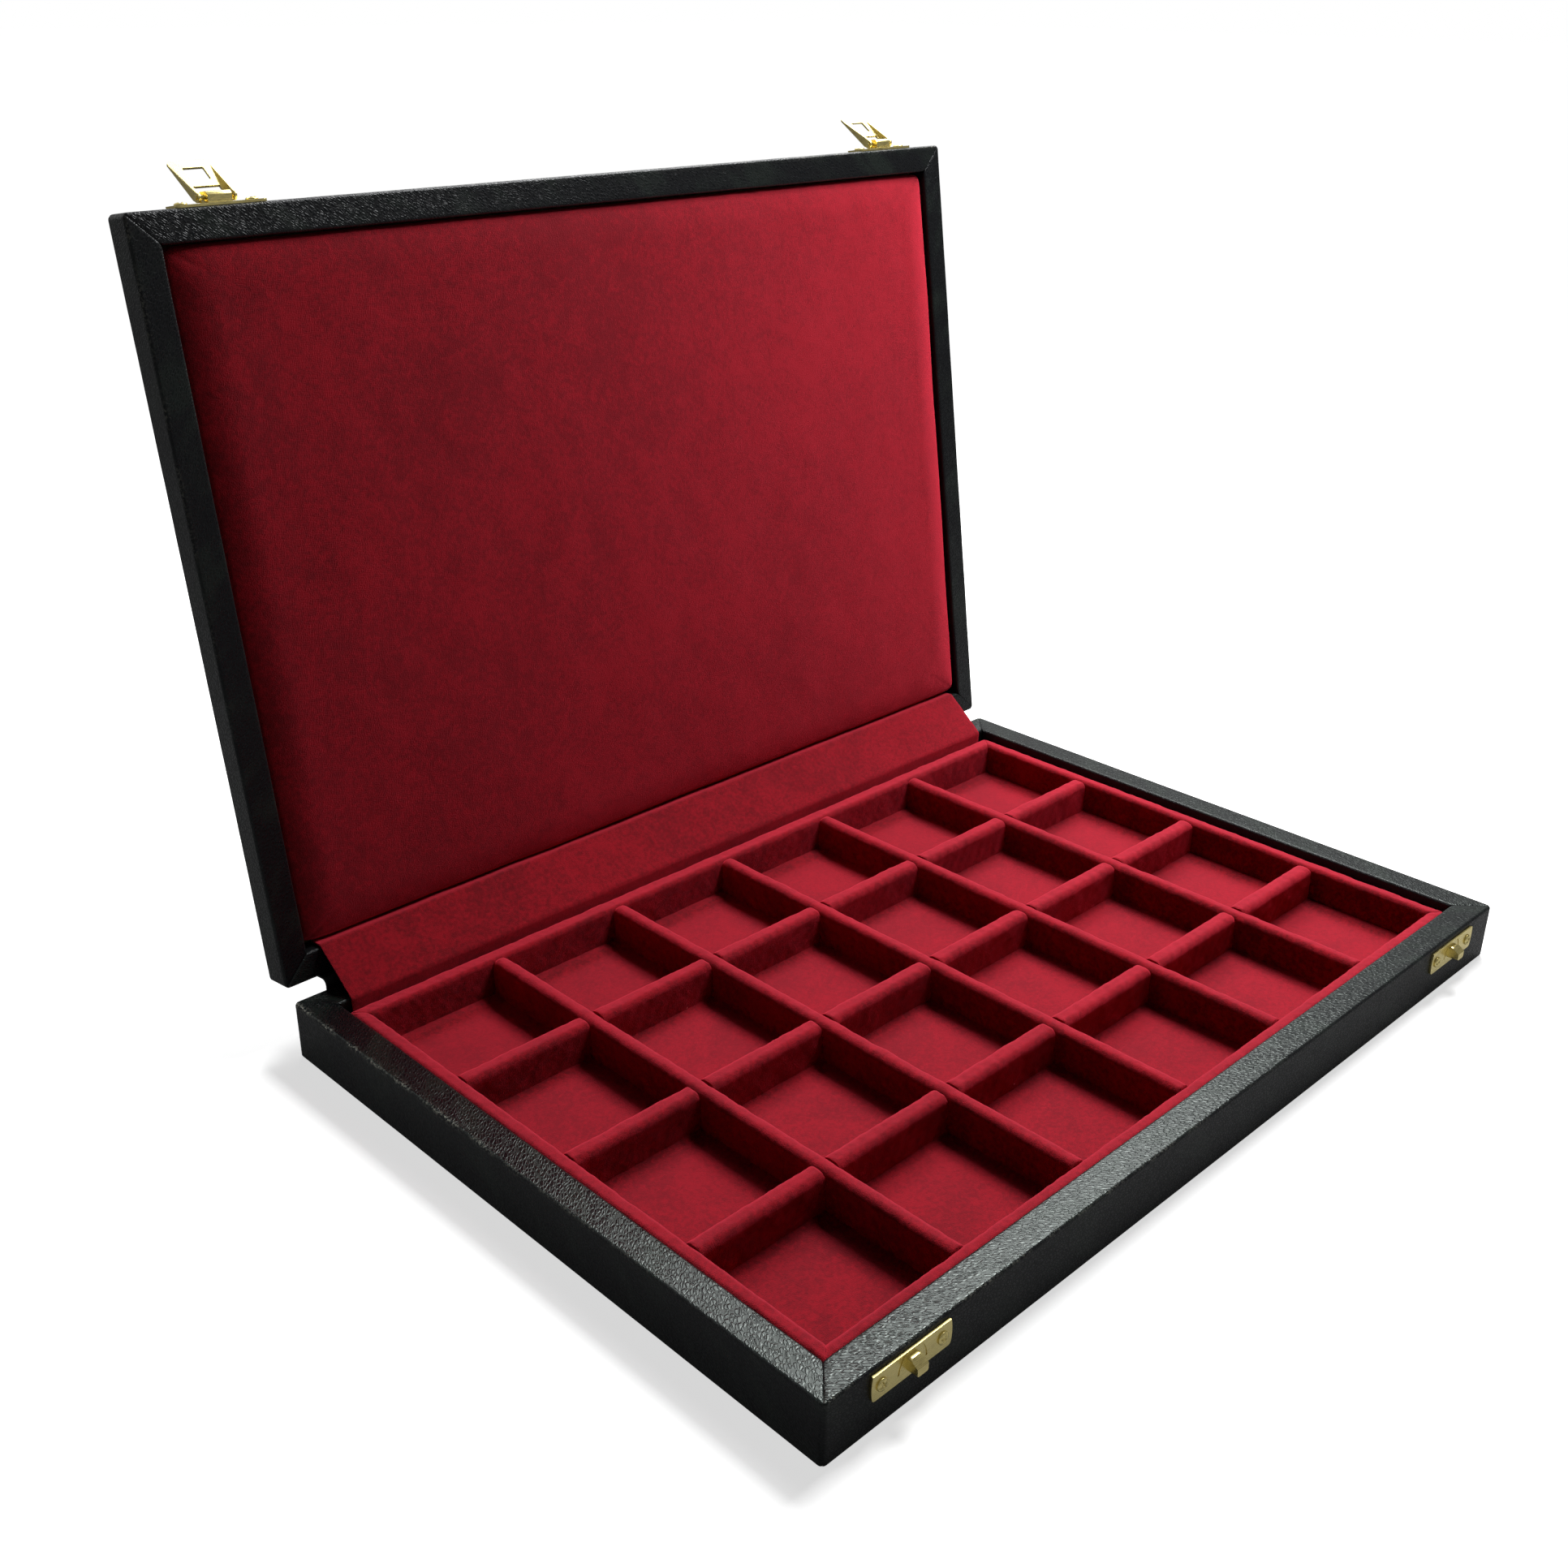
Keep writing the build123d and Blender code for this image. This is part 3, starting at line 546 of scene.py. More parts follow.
def rounded_route(corners, radius, step, arc_points=9):
    """A bent line with round corners: each arc touches both runs, at radius / tan(half the corner)."""
    corners = np.array(corners, float)
    parts, start = [], corners[0]
    for before, corner, after in zip(corners[:-2], corners[1:-1], corners[2:]):
        back, on = [(way - corner) / np.linalg.norm(way - corner) for way in (before, after)]
        half = np.arccos(back @ on) / 2
        enter, leave = corner + back * radius / np.tan(half), corner + on * radius / np.tan(half)
        centre = corner + (back + on) / np.linalg.norm(back + on) * radius / np.sin(half)
        turn = np.pi - 2 * half
        share = np.linspace(0, 1, arc_points)[1:-1, None]
        arc = np.sin((1 - share) * turn) * (enter - centre) + np.sin(share * turn) * (leave - centre)
        parts += [run(start, enter, step), centre + arc / np.sin(turn)]
        start = leave
    return np.concatenate(parts + [run(start, corners[-1], step)])


def along_route(route):
    """Distance of each point of a route from its start."""
    return np.concatenate([[0], np.cumsum(np.linalg.norm(np.diff(route, axis=0), axis=1))])


def right_of(route):
    """Unit vectors square to a flat route, on its right-hand side."""
    way = np.gradient(route, axis=0)
    way /= np.linalg.norm(way, axis=1, keepdims=True)
    return np.stack([way[:, 1], -way[:, 0]], -1)


def unevenness(points, wavelength, seed):
    """Smooth values from about -1 to 1: the mean of sines of the place along twelve random directions."""
    chance = np.random.default_rng(seed)
    ways = chance.normal(size=(3, 12))
    ways *= 2 * np.pi / (wavelength * chance.uniform(0.6, 1.6, 12) * np.linalg.norm(ways, axis=0))
    return np.sin(points @ ways + chance.uniform(0, 2 * np.pi, 12)).mean(-1) * 2


def swell(piece, waves):
    """Moves each vertex along its normal by unevenness, for each (wavelength, height, seed).

    The move fades out over the lowest 2 mm, so that nothing swells through the table.
    """
    mesh = piece.data
    places = np.empty(len(mesh.vertices) * 3, np.float32)
    normals = np.empty(len(mesh.vertices) * 3, np.float32)
    mesh.vertices.foreach_get("co", places)
    mesh.vertex_normals.foreach_get("vector", normals)
    places, normals = places.reshape(-1, 3) / MM, normals.reshape(-1, 3)
    moves = sum(height * unevenness(places, wavelength, seed) for wavelength, height, seed in waves)
    moves *= np.clip(places[:, 2] / 2, 0, 1)
    mesh.vertices.foreach_set("co", ((places + moves[:, None] * normals) * MM).astype(np.float32).ravel())
    mesh.update()


sample = unevenness(np.random.default_rng(1).uniform(0, 100, (1000, 3)), 10, 2)
print(f"unevenness runs from {sample.min():.2f} to {sample.max():.2f}")

# %% [markdown]
# ## Leather over the walls
# Each wall of the base and the lid is a rail wrapped in a strip of leather: turned under the outer
# face, up the wall, over the rim and down the inside, and cut at 45 degrees where it meets its
# neighbour. One profile is carried along each wall. Towards its ends it turns an eighth of a circle
# round the upright corner, and it stops on the mitre line, where it dips into the seam.

# %% Sizes of the base and the lid, from the frame
SIDES = {"front": (0, 1), "back": (0, -1), "left": (1, 0), "right": (-1, 0)}  # which way is inward
corner_round, rim_round = 1.6, 1.0
seam_dip, seam_reach = 0.22, 0.45


class Shell:
    """The base or the lid, measured with the lid shut."""

    def __init__(self, name, carry, back_carry, toward_rim):
        boxes = [node_box(f"{name}_cover_{side}", back_carry) for side in SIDES]
        self.name, self.carry, self.toward_rim = name, carry, toward_rim
        self.low, self.high = np.min([b[0] for b in boxes], 0), np.max([b[1] for b in boxes], 0)
        self.rim_width = boxes[0][1][1] - boxes[0][0][1]
        self.height = self.high[2] - self.low[2]
        self.skin_z = self.low[2] if toward_rim > 0 else self.high[2]
        rail = node_box(f"{name}_rail_front", back_carry)
        self.skin = rail[0][1] - boxes[0][0][1]
        self.board = node_box(f"{name}_board", back_carry)
        self.board_top = abs((self.board[1] if toward_rim > 0 else self.board[0])[2] - self.skin_z)
        self.panel_name = "base_underside_cover" if name == "base" else "lid_top_cover"
        self.panel = node_box(self.panel_name, back_carry)

    def place(self, side, along, inward, up):
        """Points of a wall, from distances along it, in from its face and up from the outer skin."""
        x, y = SIDES[side]
        half = self.high[0] if y == 0 else self.high[1]
        way = y * self.toward_rim, -x * self.toward_rim
        return np.stack([way[0] * along + x * (inward - half), way[1] * along + y * (inward - half),
                         self.skin_z + self.toward_rim * up], -1)


base = Shell("base", stay, stay, 1)
lid = Shell("lid", opened, shut, -1)
for shell in (base, lid):
    print(f"{shell.name}: rim {shell.rim_width:.1f} mm wide, walls {shell.height:.1f} mm high")

# %% Carry the profile along each wall


def toward_ends(count, gather):
    """Shares from -1 to 1 that crowd towards both ends: the sign times 1 - (1 - |t|) ** gather."""
    t = np.linspace(-1, 1, count)
    return np.sign(t) * (1 - (1 - np.abs(t)) ** gather)


def wall_surface(profile, half_length, shares):
    """Distances along, inward and up for a profile carried along a mitred wall.

    A point at a depth from the face runs straight until the corner's round begins, then turns an
    eighth of a circle of radius corner_round less its depth, which ends on the mitre line.
    """
    depth, up = profile[:, :1], profile[:, 1:]
    radius = np.maximum(corner_round - depth, 0)
    straight = half_length - np.maximum(corner_round, depth)
    along = shares * (straight + radius * np.pi / 4)
    angle = np.clip(np.abs(along) - straight, 0, None) / np.maximum(radius, 1e-6)
    reach = np.minimum(np.abs(along), straight) + radius * np.sin(angle)
    return np.sign(along) * reach, depth + radius * (1 - np.cos(angle)), up + 0 * along


def cover_wall(shell, side):
    """The leather strip over one wall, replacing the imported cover."""
    under = shell.panel[0][0] - shell.low[0] - 0.1
    width, height = shell.rim_width, shell.height
    corners = [(under, 0), (0, 0), (0, height), (width, height), (width, shell.board_top)]
    profile = rounded_route(corners, rim_round, 1.0)
    distance = along_route(profile)
    rim_start = distance[np.abs(profile - [rim_round, height]).sum(1).argmin()]
    rim_end = distance[np.abs(profile - [width - rim_round, height]).sum(1).argmin()]
    half_length = (shell.high[0] if SIDES[side][0] == 0 else shell.high[1]) - 0.03
    shares = toward_ends(int(half_length * 2), 1.35)
    surfaces, walls = [], right_of(profile)
    for depth in (0, shell.skin):
        along, inward, up = wall_surface(profile + walls * depth, half_length, shares)
        surfaces.append([along, inward, up])
    along, inward, up = surfaces[0]
    to_seam = np.clip(half_length - np.abs(along) - inward, 0, None)
    dip = seam_dip * np.exp(-to_seam / seam_reach)
    inward += dip * walls[:, :1]
    up += dip * walls[:, 1:]
    points = np.stack([shell.place(side, *surface) for surface in surfaces])
    across = np.broadcast_to(distance[:, None], along.shape)
    uv = np.stack([np.stack([along, across], -1)] * 2)
    rubbed = 1.0 if (shell.name, side) == ("base", "left") else 0.2
    edge = rubbed * np.exp(-np.abs(across - rim_start + 0.8) / 0.4) / (1 + np.exp(along / 25))
    piece = make_piece(f"{shell.name}_leather_{side}", points, sheet_faces(*along.shape),
                       [wall_leather, rim_leathers[shell.name]], shell.name,
                       [f"{shell.name}_cover_{side}"], shell.carry, uv, {"edge": np.stack([edge, edge])})
    middles = np.empty(len(piece.data.polygons) * 3, np.float32)
    piece.data.polygons.foreach_get("center", middles)
    # The face of the rim, with its round edges, is polished; the rest is dull
    on_rim = np.zeros(len(piece.data.polygons), np.int32)
    rows = (distance[:-1] >= rim_start - 0.7) & (distance[:-1] <= rim_end + 0.2)
    on_rim[:(len(profile) - 1) * (len(shares) - 1)] = np.repeat(rows, len(shares) - 1)
    piece.data.polygons.foreach_set("material_index", on_rim)
    swell(piece, [(23.0, 0.05, 3), (7.0, 0.012, 4)])
    return piece


covers = [cover_wall(shell, side) for shell in (base, lid) for side in SIDES]
print(len(covers), "leather strips,", sum(len(piece.data.polygons) for piece in covers), "faces")

# %% [markdown]
# ## The large leather panels
# The underside and the lid's top are each one flat panel, glued to the board between the turned-under
# edges. Glue pulls a panel's edge down, so its surface is a height that falls by a quarter circle
# towards the border, on a grid that crowds there.

# %% Underside and top panels


def leather_panel(shell):
    """A flat panel whose height falls off round its border, by an exponential of the way to the edge."""
    half = (shell.panel[1] - shell.panel[0])[:2] / 2
    middle = (shell.panel[1] + shell.panel[0])[:2] / 2
    x, y = np.meshgrid(half[0] * toward_ends(150, 1.8), half[1] * toward_ends(110, 1.8), indexing="ij")
    to_edge = np.minimum(half[0] - np.abs(x), half[1] - np.abs(y))
    sunk = 0.35 * np.exp(-to_edge / 0.7)
    outer = np.stack([x + middle[0], y + middle[1], shell.skin_z + shell.toward_rim * sunk], -1)
    inner = outer + 0.0
    inner[..., 2] = shell.skin_z + shell.toward_rim * shell.skin
    uv = np.stack([np.stack([x, y], -1)] * 2)
    piece = make_piece(f"{shell.name}_leather_panel", np.stack([outer, inner]), sheet_faces(*x.shape),
                       wall_leather, shell.name, [shell.panel_name], shell.carry, uv,
                       {"edge": np.zeros((2, *x.shape))})
    return piece


panels = [leather_panel(shell) for shell in (base, lid)]
print("panels:", [piece.name for piece in panels])

# %% [markdown]
# ## The leather spine and the velvet lining
# Two strips cross the hinge. The spine is glued down the back walls and is the hinge itself. The lining is tucked
# behind the tray and behind the pad, and stops the lid when it is drawn taut. Both are sheets along a bent route,
# shaped as they lie with the lid open, and neither rides on the base or the lid.

# %% Strips across the hinge
lining_thickness, lining_bend, lining_lid_tuck = 0.8, 1.6, 6.0
spine_thickness, spine_bend, spine_lid_leaf, spine_gap = 0.9, 2.2, 6.5, 0.1


def lid_point(y, z):
    """A point of the shut lid's cross-section, where it lies with the lid open."""
    return opened(np.array([0.0, y, z]))[1:]


def strip(name, route, thickness, half_length, material, stands_for, waves):
    """A sheet of even thickness along a route, with distances from its middle and along it as UV."""
    offset = right_of(route) * thickness / 2
    distance = along_route(route)
    x = half_length * toward_ends(int(half_length), 1.3)
    layers, ends = [], np.exp(-(half_length - np.abs(x)) / 0.5)
    for way in (1, -1):
        line = route + way * offset
        thinner = 1 - 0.35 * ends[:, None, None]
        section = route + (line - route) * thinner
        layers.append(np.concatenate([np.broadcast_to(x[:, None, None], section[..., :1].shape), section], -1))
    uv = np.stack(np.meshgrid(x, distance, indexing="ij"), -1)
    points = np.stack(layers)
    # painted light: the lining's velvet is painted lighter towards the strip's two ends
    painted_light_and_shade = 0.6 + np.zeros(points.shape[:-1]) + ends[:, None] * 0.3
    piece = make_piece(name, points, sheet_faces(len(x), len(route)), material, None, [stands_for],
                       stay, np.stack([uv, uv]), {"painted_light_and_shade": painted_light_and_shade, "edge": painted_light_and_shade * 0})
    swell(piece, waves)
    return piece, distance[-1]


lining_low, lining_high = node_box("hinge_lining")
pad_low, pad_high = node_box("lid_pad", shut)
lining_y = lining_low[1] + lining_thickness / 2
lining_lid_y = (lid.high[1] - lid.rim_width + pad_high[1]) / 2
lining_corners = [(lining_y, lining_low[2]), (lining_y, base.high[2] + lining_thickness / 2),
                  lid_point(lining_lid_y, lid.low[2]), lid_point(lining_lid_y, lid.low[2] + lining_lid_tuck)]
lining, lining_length = strip(
    "hinge_lining_velvet", rounded_route(lining_corners, lining_bend, 0.7), lining_thickness, lining_high[0],
    lining_velvet, "hinge_lining", [(34.0, 0.16, 11), (9.0, 0.05, 12), (2.0, 0.03, 13)])
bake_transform(lining)

spine_low, spine_high = node_box("leather_spine")
spine_y = base.high[1] + spine_thickness / 2
leaf_start = lid_point(spine_y + spine_gap, lid.low[2])
leaf_end = lid_point(spine_y + spine_gap, lid.low[2] + spine_lid_leaf)
slope = (leaf_end - leaf_start)[1] / (leaf_end - leaf_start)[0]
spine_corner = np.array([spine_y, leaf_start[1] + (spine_y - leaf_start[0]) * slope])
spine_route = rounded_route([(spine_y, spine_low[2]), spine_corner, leaf_end], spine_bend, 0.7)
spine, spine_length = strip("leather_spine_strip", spine_route, spine_thickness, spine_high[0], wall_leather,
                            "leather_spine", [(30.0, 0.05, 14)])
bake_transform(spine)
print(f"lining {lining_length:.1f} mm and spine {spine_length:.1f} mm from end to end")

# %% [markdown]
# ## The velvet tray
# The tray is card and wood strips with velvet glued over them. The dividers that run front to back
# are whole. The cross dividers are halved over them, and the velvet is pushed down round each
# crossing, so every cell seems to have its own soft finger of velvet along it. A divider is a bar: its
# rounded section is carried along, its top falls by a quarter circle at each end, and where it is
# notched, its height below the round is squeezed into what is left.

# %% Sizes of the tray
divider_names = [name for name in nodes if name.startswith("tray_divider_")]
cross_names = [name for name in nodes if name.startswith("tray_cross_divider_")]
divider_boxes = {name: node_box(name) for name in divider_names}
cross_boxes = {name: node_box(name) for name in cross_names}
floor_low, floor_high = node_box("tray_floor")
floor_z, tray_top = floor_high[2], node_box("tray_border_front")[1][2]
divider_x = np.array([(low[0] + high[0]) / 2 for low, high in divider_boxes.values()])
cross_y = np.array([(low[1] + high[1]) / 2 for low, high in cross_boxes.values()])
divider_width = np.ptp([box[0] for box in divider_boxes[divider_names[0]]])
cross_width = np.ptp([box[1] for box in cross_boxes[cross_names[0]]])
rib_round, end_round, end_depth, end_pinch = 2.5, 1.2, 0.30, 0.0
tray_waves = [(11.0, 0.13, 21), (3.6, 0.10, 22), (1.6, 0.05, 23)]
print(f"dividers {divider_width:.1f} and {cross_width:.1f} mm wide, cells {floor_z:.1f} to {tray_top:.1f} mm high")

# %% Dividers as bars


def end_fall(distance):
    """How far a rounded end has fallen at a distance from it: a quarter of an ellipse."""
    share = np.clip(1 - distance / end_round, 0, 1)
    return end_depth * end_round * (1 - np.sqrt(1 - share ** 2 * 0.98))


def divider_bar(name, low, high, lengthwise, stops, notches, notch_half, notch_from):
    """A velvet-covered divider along X or Y.

    stops are where the velvet's rounded fingers end, and notches where it crosses other dividers:
    there its height is squeezed to above the notch (notch_from 1) or to below it (notch_from -1).
    """
    crosswise = 1 - lengthwise
    width, height = high[crosswise] - low[crosswise], high[2] - low[2]
    edges = np.concatenate([notches - notch_half, notches + notch_half])
    even = np.arange(low[lengthwise], high[lengthwise], 0.9)
    near = (np.asarray(stops)[:, None] + np.linspace(-end_round, end_round, 11)).ravel()
    places = np.concatenate([even, near, edges - 0.02, edges + 0.02, [low[lengthwise], high[lengthwise]]])
    t = np.unique(places.clip(low[lengthwise], high[lengthwise]).round(3))
    section = rounded_route([(-width / 2, 0), (-width / 2, height), (width / 2, height), (width / 2, 0)],
                            rib_round, 1.0)
    across, up = np.broadcast_to(section[:, 0], (len(t), len(section))), section[:, 1] + 0 * t[:, None]
    to_stop = np.abs(t[:, None] - stops).min(1)[:, None]
    fall = end_fall(to_stop)
    across = across * (1 - end_pinch * (fall / end_round) * (up / height) / 2)
    up = up - fall * np.clip(up / height, 0, 1) ** 3
    notched = (np.abs(t[:, None] - notches) < notch_half).any(1)[:, None]
    round_start, middle = height - rib_round, height / 2
    if notch_from > 0:
        squeezed = np.where(up < round_start, middle + up * (round_start - middle) / round_start, up)
    else:
        squeezed = up * (middle - 0.1) / height
    up = np.where(notched, squeezed, up)
    middle_line = (low[crosswise] + high[crosswise]) / 2
    points = np.empty((*up.shape, 3))
    points[..., lengthwise] = t[:, None]
    points[..., crosswise] = middle_line + across
    points[..., 2] = low[2] + up
    # painted light and shade: the divider's velvet is painted lighter on its top and darker down its sides towards
    # the floor
    painted_light_and_shade = 0.1 + 0.9 * np.clip(up / height, 0, 1) ** 5
    piece = make_piece(f"{name}_velvet", points, bar_faces(*up.shape), tray_velvet, "base",
                       [name], values={"painted_light_and_shade": painted_light_and_shade}, smooth=60.0)
    swell(piece, tray_waves)
    return piece


inner_low, inner_high = divider_boxes[divider_names[0]][0][1], divider_boxes[divider_names[0]][1][1]
dividers = [divider_bar(name, low, high, 1, np.array([low[1], high[1]]), cross_y, cross_width / 2 + 0.1, 1)
            for name, (low, high) in divider_boxes.items()]
for name, (low, high) in cross_boxes.items():
    crossings = np.concatenate([divider_x - divider_width / 2 - 0.05, divider_x + divider_width / 2 + 0.05])
    stops = np.concatenate([crossings, [low[0], high[0]]])
    dividers.append(divider_bar(name, low, high, 0, stops, divider_x, divider_width / 2 + 0.1, -1))
print(len(dividers), "dividers,", sum(len(piece.data.polygons) for piece in dividers), "faces")

# %% [markdown]
# The borders are the same kind of bar, but mitred: at each depth from its outer face a border stops on the line from
# the tray's outer corner to its inner one, and its neighbours differ in width, so the slopes of its two ends differ
# too. The floor is one sheet under them all. It curls up along the foot of every divider, and there shade is painted
# into its colour.

# %% Borders and floor


def border_bar(side, widths):
    """A mitred border: the point at a depth runs from its low end plus depth times that end's slope."""
    low, high = node_box(f"tray_border_{side}")
    x_in, y_in = SIDES[side]
    lengthwise = 0 if x_in == 0 else 1
    width, height = widths[side], high[2] - low[2]
    section = rounded_route([(0, 0), (0, height), (width, height), (width, 0)], 1.8, 1.0)
    depth, up = section.T
    neighbours = ("left", "right") if lengthwise == 0 else ("front", "back")
    slopes = [widths[other] / width for other in neighbours]
    share = (toward_ends(int((high - low)[lengthwise]), 1.25)[:, None] + 1) / 2
    start, end = low[lengthwise] + depth * slopes[0] + 0.01, high[lengthwise] - depth * slopes[1] - 0.01
    along = start + share * (end - start)
    dip = 0.22 * (np.exp(-(along - start) / 0.6) + np.exp(-(end - along) / 0.6))
    raised = np.clip(up / height, 0, 1) ** 6
    outer_face = low if x_in + y_in > 0 else high
    points = np.empty((*along.shape, 3))
    points[..., lengthwise] = along
    points[..., 1 - lengthwise] = outer_face[1 - lengthwise] + (x_in + y_in) * depth
    points[..., 2] = low[2] + up - dip * raised
    # painted light and shade: the border's velvet is painted lighter on its top and darker down its sides
    piece = make_piece(f"tray_border_{side}_velvet", points, bar_faces(*along.shape), tray_velvet, "base",
                       [f"tray_border_{side}"], values={"painted_light_and_shade": 0.1 + 0.9 * raised + 0 * along},
                       smooth=60.0)
    swell(piece, tray_waves)
    return piece


border_widths = {}
for side, (x_in, y_in) in SIDES.items():
    low, high = node_box(f"tray_border_{side}")
    border_widths[side] = (high - low)[0 if y_in == 0 else 1]
borders = [border_bar(side, border_widths) for side in SIDES]


def tray_floor():
    """The floor: a sheet that curls up at the walls by an exponential of the way to them.

    The ways to the nearest wall along x and y are joined as (x^-n + y^-n)^(-1/n), which rounds each
    cell's corners.
    """
    x, y = np.meshgrid(np.linspace(floor_low[0], floor_high[0], 256), np.linspace(floor_low[1], floor_high[1], 172),
                       indexing="ij")
    left = np.append(divider_x, [floor_low[0] + border_widths["left"], floor_high[0] - border_widths["right"]])
    back = np.append(cross_y, [floor_low[1] + border_widths["front"], floor_high[1] - border_widths["back"]])
    to_x = np.abs(x[..., None] - left).min(-1) - divider_width / 2
    to_y = np.abs(y[..., None] - back).min(-1) - cross_width / 2
    to_x, to_y = np.maximum(to_x, 0.05), np.maximum(to_y, 0.05)
    to_wall = (to_x ** -1.5 + to_y ** -1.5) ** (-1 / 1.5)
    curled = np.exp(-to_wall / 1.8)
    top = np.stack([x, y, floor_z + 1.3 * curled], -1)
    bottom = np.stack([x, y, np.full_like(x, floor_low[2])], -1)
    # painted shade: the floor's velvet is painted darker where it curls up at the walls, along each cell's edges and
    # into its corners
    piece = make_piece("tray_floor_velvet", np.stack([top, bottom]), sheet_faces(*x.shape), tray_velvet, "base",
                       ["tray_floor"], values={"painted_light_and_shade": 0.7 - 0.5 * np.stack([curled, curled])})
    return piece


floor_cloth = tray_floor()
print("borders", {side: round(float(width), 1) for side, width in border_widths.items()})

# %% [markdown]
# ## The padded panel in the lid
# Velvet is drawn over a thin foam on a card, so the panel is crowned, its edges roll over, its corners are tight and
# its sides pull in between them. The outline is a square bent into a very full superellipse, and the height is the
# crown less the roll of the edge.

# %% The pad
pad_crown, pad_roll, pad_draw, pad_corner = 0.5, 1.7, 0.2, 90.0
pad_shoulder, pad_shoulder_reach = 2.2, 13.0
pad_left_fall, pad_left_reach = 1.5, 15.0


def pad_surface(u, v, half):
    """Place and height of the pad's face, from u and v between -1 and 1.

    The corners are pulled in by (|u|^n + |v|^n)^(1/n), the sides by draw times 1 - t^2. The face falls
    by a crown towards the sides, by a soft shoulder near them (the square of the share of its reach),
    by one more shoulder on the left, where the foam is thinner, and by a quarter circle of radius
    pad_roll at the very edge.
    """
    largest = np.maximum(np.maximum(np.abs(u), np.abs(v)), 1e-9)
    ratio = np.minimum(np.abs(u), np.abs(v)) / largest
    pull = (1 + ratio ** pad_corner) ** (-1 / pad_corner)
    x = half[0] * u * pull - pad_draw * u ** 5 * (1 - v ** 2)
    y = half[1] * v * pull - pad_draw * v ** 5 * (1 - u ** 2)
    to_x, to_y = half[0] * (1 - np.abs(u)) + 1e-6, half[1] * (1 - np.abs(v)) + 1e-6
    to_edge = (to_x ** -3.0 + to_y ** -3.0) ** (-1 / 3)
    share = np.clip(1 - to_edge / pad_roll, 0, 1)
    shoulder = np.clip(1 - to_edge / pad_shoulder_reach, 0, 1) ** 2
    fall = pad_roll * (1 - np.sqrt(1 - share ** 2)) + pad_shoulder * shoulder
    fall += pad_left_fall * np.clip(1 - half[0] * (1 + u) / pad_left_reach, 0, 1) ** 2
    return x, y, fall + pad_crown / 2 * (u ** 2 + v ** 2)


def make_pad():
    """The pad as a closed sheet: its rolled face and its flat back."""
    half = (pad_high - pad_low)[:2] / 2
    middle = (pad_high + pad_low)[:2] / 2
    u, v = np.meshgrid(toward_ends(230, 1.7), toward_ends(160, 1.7), indexing="ij")
    x, y, fall = pad_surface(u, v, half)
    face = np.stack([x + middle[0], y + middle[1], pad_low[2] + fall], -1)
    back = face + 0.0
    back[..., 2] = pad_high[2]
    # painted highlight: the pad's velvet is painted lighter where its face falls away towards the edges
    painted_light_and_shade = 0.80 + 0.2 * np.clip(fall / pad_roll - 1, 0, 1)
    piece = make_piece("lid_pad_velvet", np.stack([face, back]), sheet_faces(*u.shape), pad_velvet, "lid",
                       ["lid_pad"], opened, values={"painted_light_and_shade": np.stack([painted_light_and_shade, painted_light_and_shade])}, smooth=70.0)
    swell(piece, [(60.0, 0.22, 31), (16.0, 0.07, 32), (4.0, 0.03, 33)])
    return piece


pad = make_pad()
print(f"pad of {len(pad.data.polygons)} faces, {pad_high[0] - pad_low[0]:.0f} mm wide, "
      f"{pad_high[2] - pad_low[2]:.1f} mm thick")

# %% [markdown]
# ## Brass
# The plates, knobs, levers and pivot pins are right as packed, with crisp stamped edges, but no real
# edge is perfectly sharp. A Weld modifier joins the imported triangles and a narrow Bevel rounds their
# edges, which is where metal catches the light. The round-headed pins get a new mesh, because a
# cross-shaped recess is easy to say as a height: the head's dome less a cross.

# %% Soften the stamped pieces
for name, piece in nodes.items():
    if any(word in name for word in ("plate", "knob", "lever", "pivot")):
        weld = piece.modifiers.new("weld", "WELD")
        weld.merge_threshold = 0.00001
        bevel = piece.modifiers.new("bevel", "BEVEL")
        bevel.width, bevel.segments, bevel.limit_method = 0.00018, 3, "ANGLE"
        bevel.angle_limit = math.radians(35)
        bevel.use_clamp_overlap = True
        piece.data.materials.clear()
        piece.data.materials.append(brass)
print("softened the edges of the stamped brass")

# %% Pins with a crossed recess
head_radius, shank_radius, head_rise, head_rim = 2.0, 1.1, 1.05, 0.3
recess_depth, recess_width, recess_reach = 0.62, 0.34, 1.35


def pin_surface(profile, around):
    """A turned pin: (radius, height) pairs carried round a circle, with a cross pressed into its head.

    The cross is the larger of two bars, each a smooth step in the distance across it, and it fades
    out towards recess_reach. It lowers only what is on top of the head.
    """
    radius, height = profile[:, :1], profile[:, 1:]
    x, z = radius * np.cos(around), radius * np.sin(around)
    bars = [1 / (1 + (np.abs(across) / recess_width) ** 6) for across in (x, z)]
    fade = 1 / (1 + (radius / recess_reach) ** 8)
    on_top = np.arange(len(profile))[:, None] >= profile_top
    return x, z, height - on_top * recess_depth * np.maximum(*bars) * fade


dome = np.linspace(0, np.pi / 2, 26)[:, None]
dome_line = np.concatenate([head_radius * np.cos(dome), head_rim + (head_rise - head_rim) * np.sin(dome)], 1)
profile_top = 4


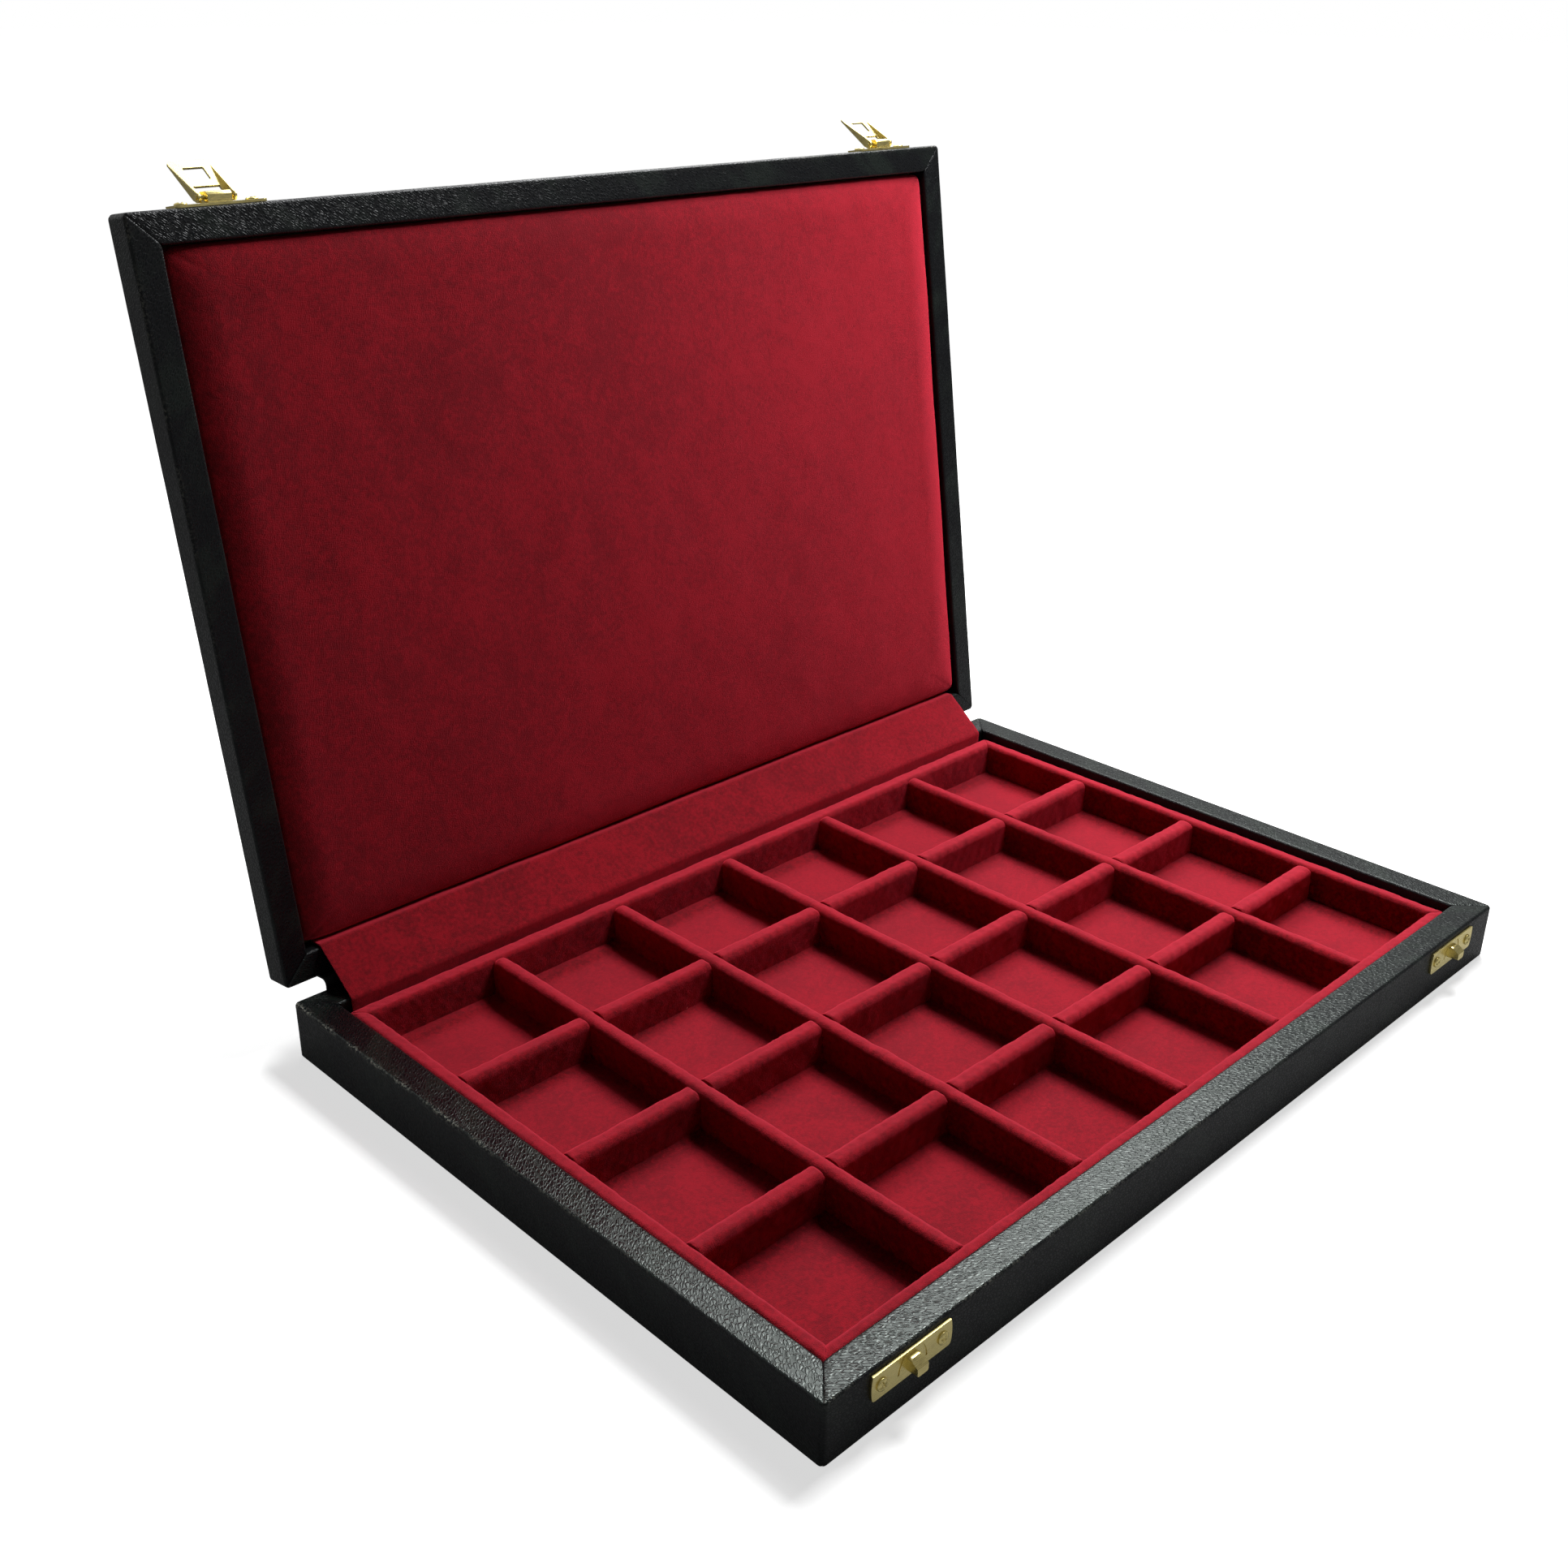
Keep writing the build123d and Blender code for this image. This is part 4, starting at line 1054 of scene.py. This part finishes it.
def pins_piece(name, shell, back_carry, turns):
    """Both pins of a plate, side by side in one piece."""
    low, high = node_box(name, back_carry)
    depth = high[1] - low[1] - head_rise
    foot = [(1e-3, -depth), (shank_radius, -depth), (shank_radius, 0), (head_radius, 0)]
    profile = np.concatenate([foot, dome_line[:-1], [(1e-3, head_rim + head_rise - head_rim)]])
    parts, faces, count = [], [], 0
    for centre_x, turn in zip((low[0] + head_radius, high[0] - head_radius), turns):
        around = np.linspace(0, 2 * np.pi, 56, endpoint=False) + math.radians(turn)
        x, z, height = pin_surface(profile, np.linspace(0, 2 * np.pi, 56, endpoint=False))
        cosine, sine = math.cos(math.radians(turn)), math.sin(math.radians(turn))
        x, z = x * cosine - z * sine, x * sine + z * cosine
        middle_z = (low[2] + high[2]) / 2
        points = np.stack([centre_x + x, low[1] + head_rise - height, middle_z + z], -1)
        parts.append(points.reshape(-1, 3))
        shape = len(profile), len(around)
        faces += [[corner + count for corner in face] for face in bar_faces(*shape)]
        count += points.size // 3
    return make_piece(f"{name}_brass", np.concatenate(parts), faces, brass, shell.name, [name],
                      shell.carry, smooth=50.0)


pins = [pins_piece("striker_pins_left", base, stay, (25, 70)), pins_piece("striker_pins_right", base, stay, (5, 40)),
        pins_piece("latch_pins_left", lid, shut, (60, 15)), pins_piece("latch_pins_right", lid, shut, (80, 35))]
print(len(pins), "pairs of pins")

# %% Wood and card inside the case
for name, piece in nodes.items():
    if "rail" in name or name in ("base_board", "lid_board", "lid_pad_board"):
        piece.data.materials.clear()
        piece.data.materials.append(card if name == "lid_pad_board" else wood)
print("rails and boards finished")

# %% [markdown]
# ## Floor and light
# The photograph's ground is plain white. A large window-like lamp stands to the right, which leaves
# the sides of the cells that face left in the dark, and a softbox hangs behind and above, which the
# rims of the front corner mirror. The floor and the world are white to the camera and to mirrors, but
# the world lights the object only a little, so that velvet stays deep.

# %% Floor


def add_floor():
    """A wide pale floor under the case, with a white of its own for the camera and for mirrors."""
    mesh = bpy.data.meshes.new("floor")
    reach = 12.0
    mesh.from_pydata([(-reach, -reach, 0), (reach, -reach, 0), (reach, reach, 0), (-reach, reach, 0)], [],
                     [(0, 1, 2, 3)])
    mesh.transform(Matrix.Translation((0, 0, -0.0001)))
    floor = bpy.data.objects.new("floor", mesh)
    bpy.context.scene.collection.objects.link(floor)
    material, tree, shader = new_material("pale_floor")
    shader.inputs["Roughness"].default_value = 0.9
    shader.inputs["Specular IOR Level"].default_value = 0.0
    path = node(tree, "LightPath").outputs
    clear = math_node(tree, "MAXIMUM", path["Is Camera Ray"], path["Is Transmission Ray"])
    seen = math_node(tree, "MAXIMUM", clear, math_node(tree, "MULTIPLY", path["Is Glossy Ray"], 0.14))
    place = node(tree, "TexCoord").outputs["Object"]
    away = node(tree, "VectorMath", {0: place}, operation="LENGTH").outputs["Value"]
    white = math_node(tree, "MULTIPLY", seen, ramp(tree, away, 0.22, 0.7, 0.66, 1.0))
    tree.links.new(ramp(tree, path["Is Glossy Ray"], 0, 1, 0.80, 0.30), shader.inputs["Base Color"])
    tree.links.new(white, shader.inputs["Emission Strength"])
    shader.inputs["Emission Color"].default_value = (1, 1, 1, 1)
    mesh.materials.append(material)
    floor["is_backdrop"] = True


def add_world(ambient, dim):
    """White for the camera; mirrors see the white backdrop behind the case, which dims to the front."""
    world = bpy.data.worlds.new("studio")
    world.use_nodes = True
    bpy.context.scene.world = world
    tree = world.node_tree
    path = node(tree, "LightPath").outputs
    way = node(tree, "TexCoord").outputs["Generated"]
    behind = node(tree, "VectorMath", {0: way, 1: (0.15, 0.82, 0.55)}, operation="DOT_PRODUCT").outputs["Value"]
    mirrored = math_node(tree, "MULTIPLY", path["Is Glossy Ray"], ramp(tree, behind, 0.2, 0.98, dim, 0.75))
    clear = math_node(tree, "MAXIMUM", path["Is Camera Ray"], path["Is Transmission Ray"])
    seen = math_node(tree, "MAXIMUM", clear, mirrored)
    background = tree.nodes["Background"]
    background.inputs["Color"].default_value = (1, 1, 1, 1)
    tree.links.new(math_node(tree, "MAXIMUM", seen, ambient), background.inputs["Strength"])


def add_softbox(name, place, aim, size, power):
    """A square lamp at a place in millimetres, turned towards another."""
    data = bpy.data.lights.new(name, "AREA")
    data.shape, data.size, data.size_y, data.energy = "RECTANGLE", size[0], size[1], power
    lamp = bpy.data.objects.new(name, data)
    bpy.context.scene.collection.objects.link(lamp)
    lamp.location = Vector(place) * MM
    lamp.rotation_mode = "QUATERNION"
    lamp.rotation_quaternion = (Vector(aim) - Vector(place)).to_track_quat("-Z", "Y")
    lamp.visible_camera = False


add_floor()
add_world(ambient=0.012, dim=0.22)
add_softbox("window", place=(290, 15, 630), aim=(60, 20, 40), size=(0.24, 0.24), power=4.9)
add_softbox("softbox", place=(390, 345, 700), aim=(-80, -100, 20), size=(0.58, 0.50), power=6.6)
print("floor, world and two lamps")

# %% [markdown]
# ## Finish
# The two boxes, of the imported model and of the dressed one, are measured and their difference is printed, so that
# they can be compared: the looks must not make the case bigger.

# %% Print how far the sizes differ
visual_box = [list(corner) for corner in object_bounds()]
growth = [round((b - a) / MM, 2) for one, two in zip(cad_box, visual_box) for a, b in zip(one, two)]
print("the dressed case differs from the packed one by", growth, "mm")
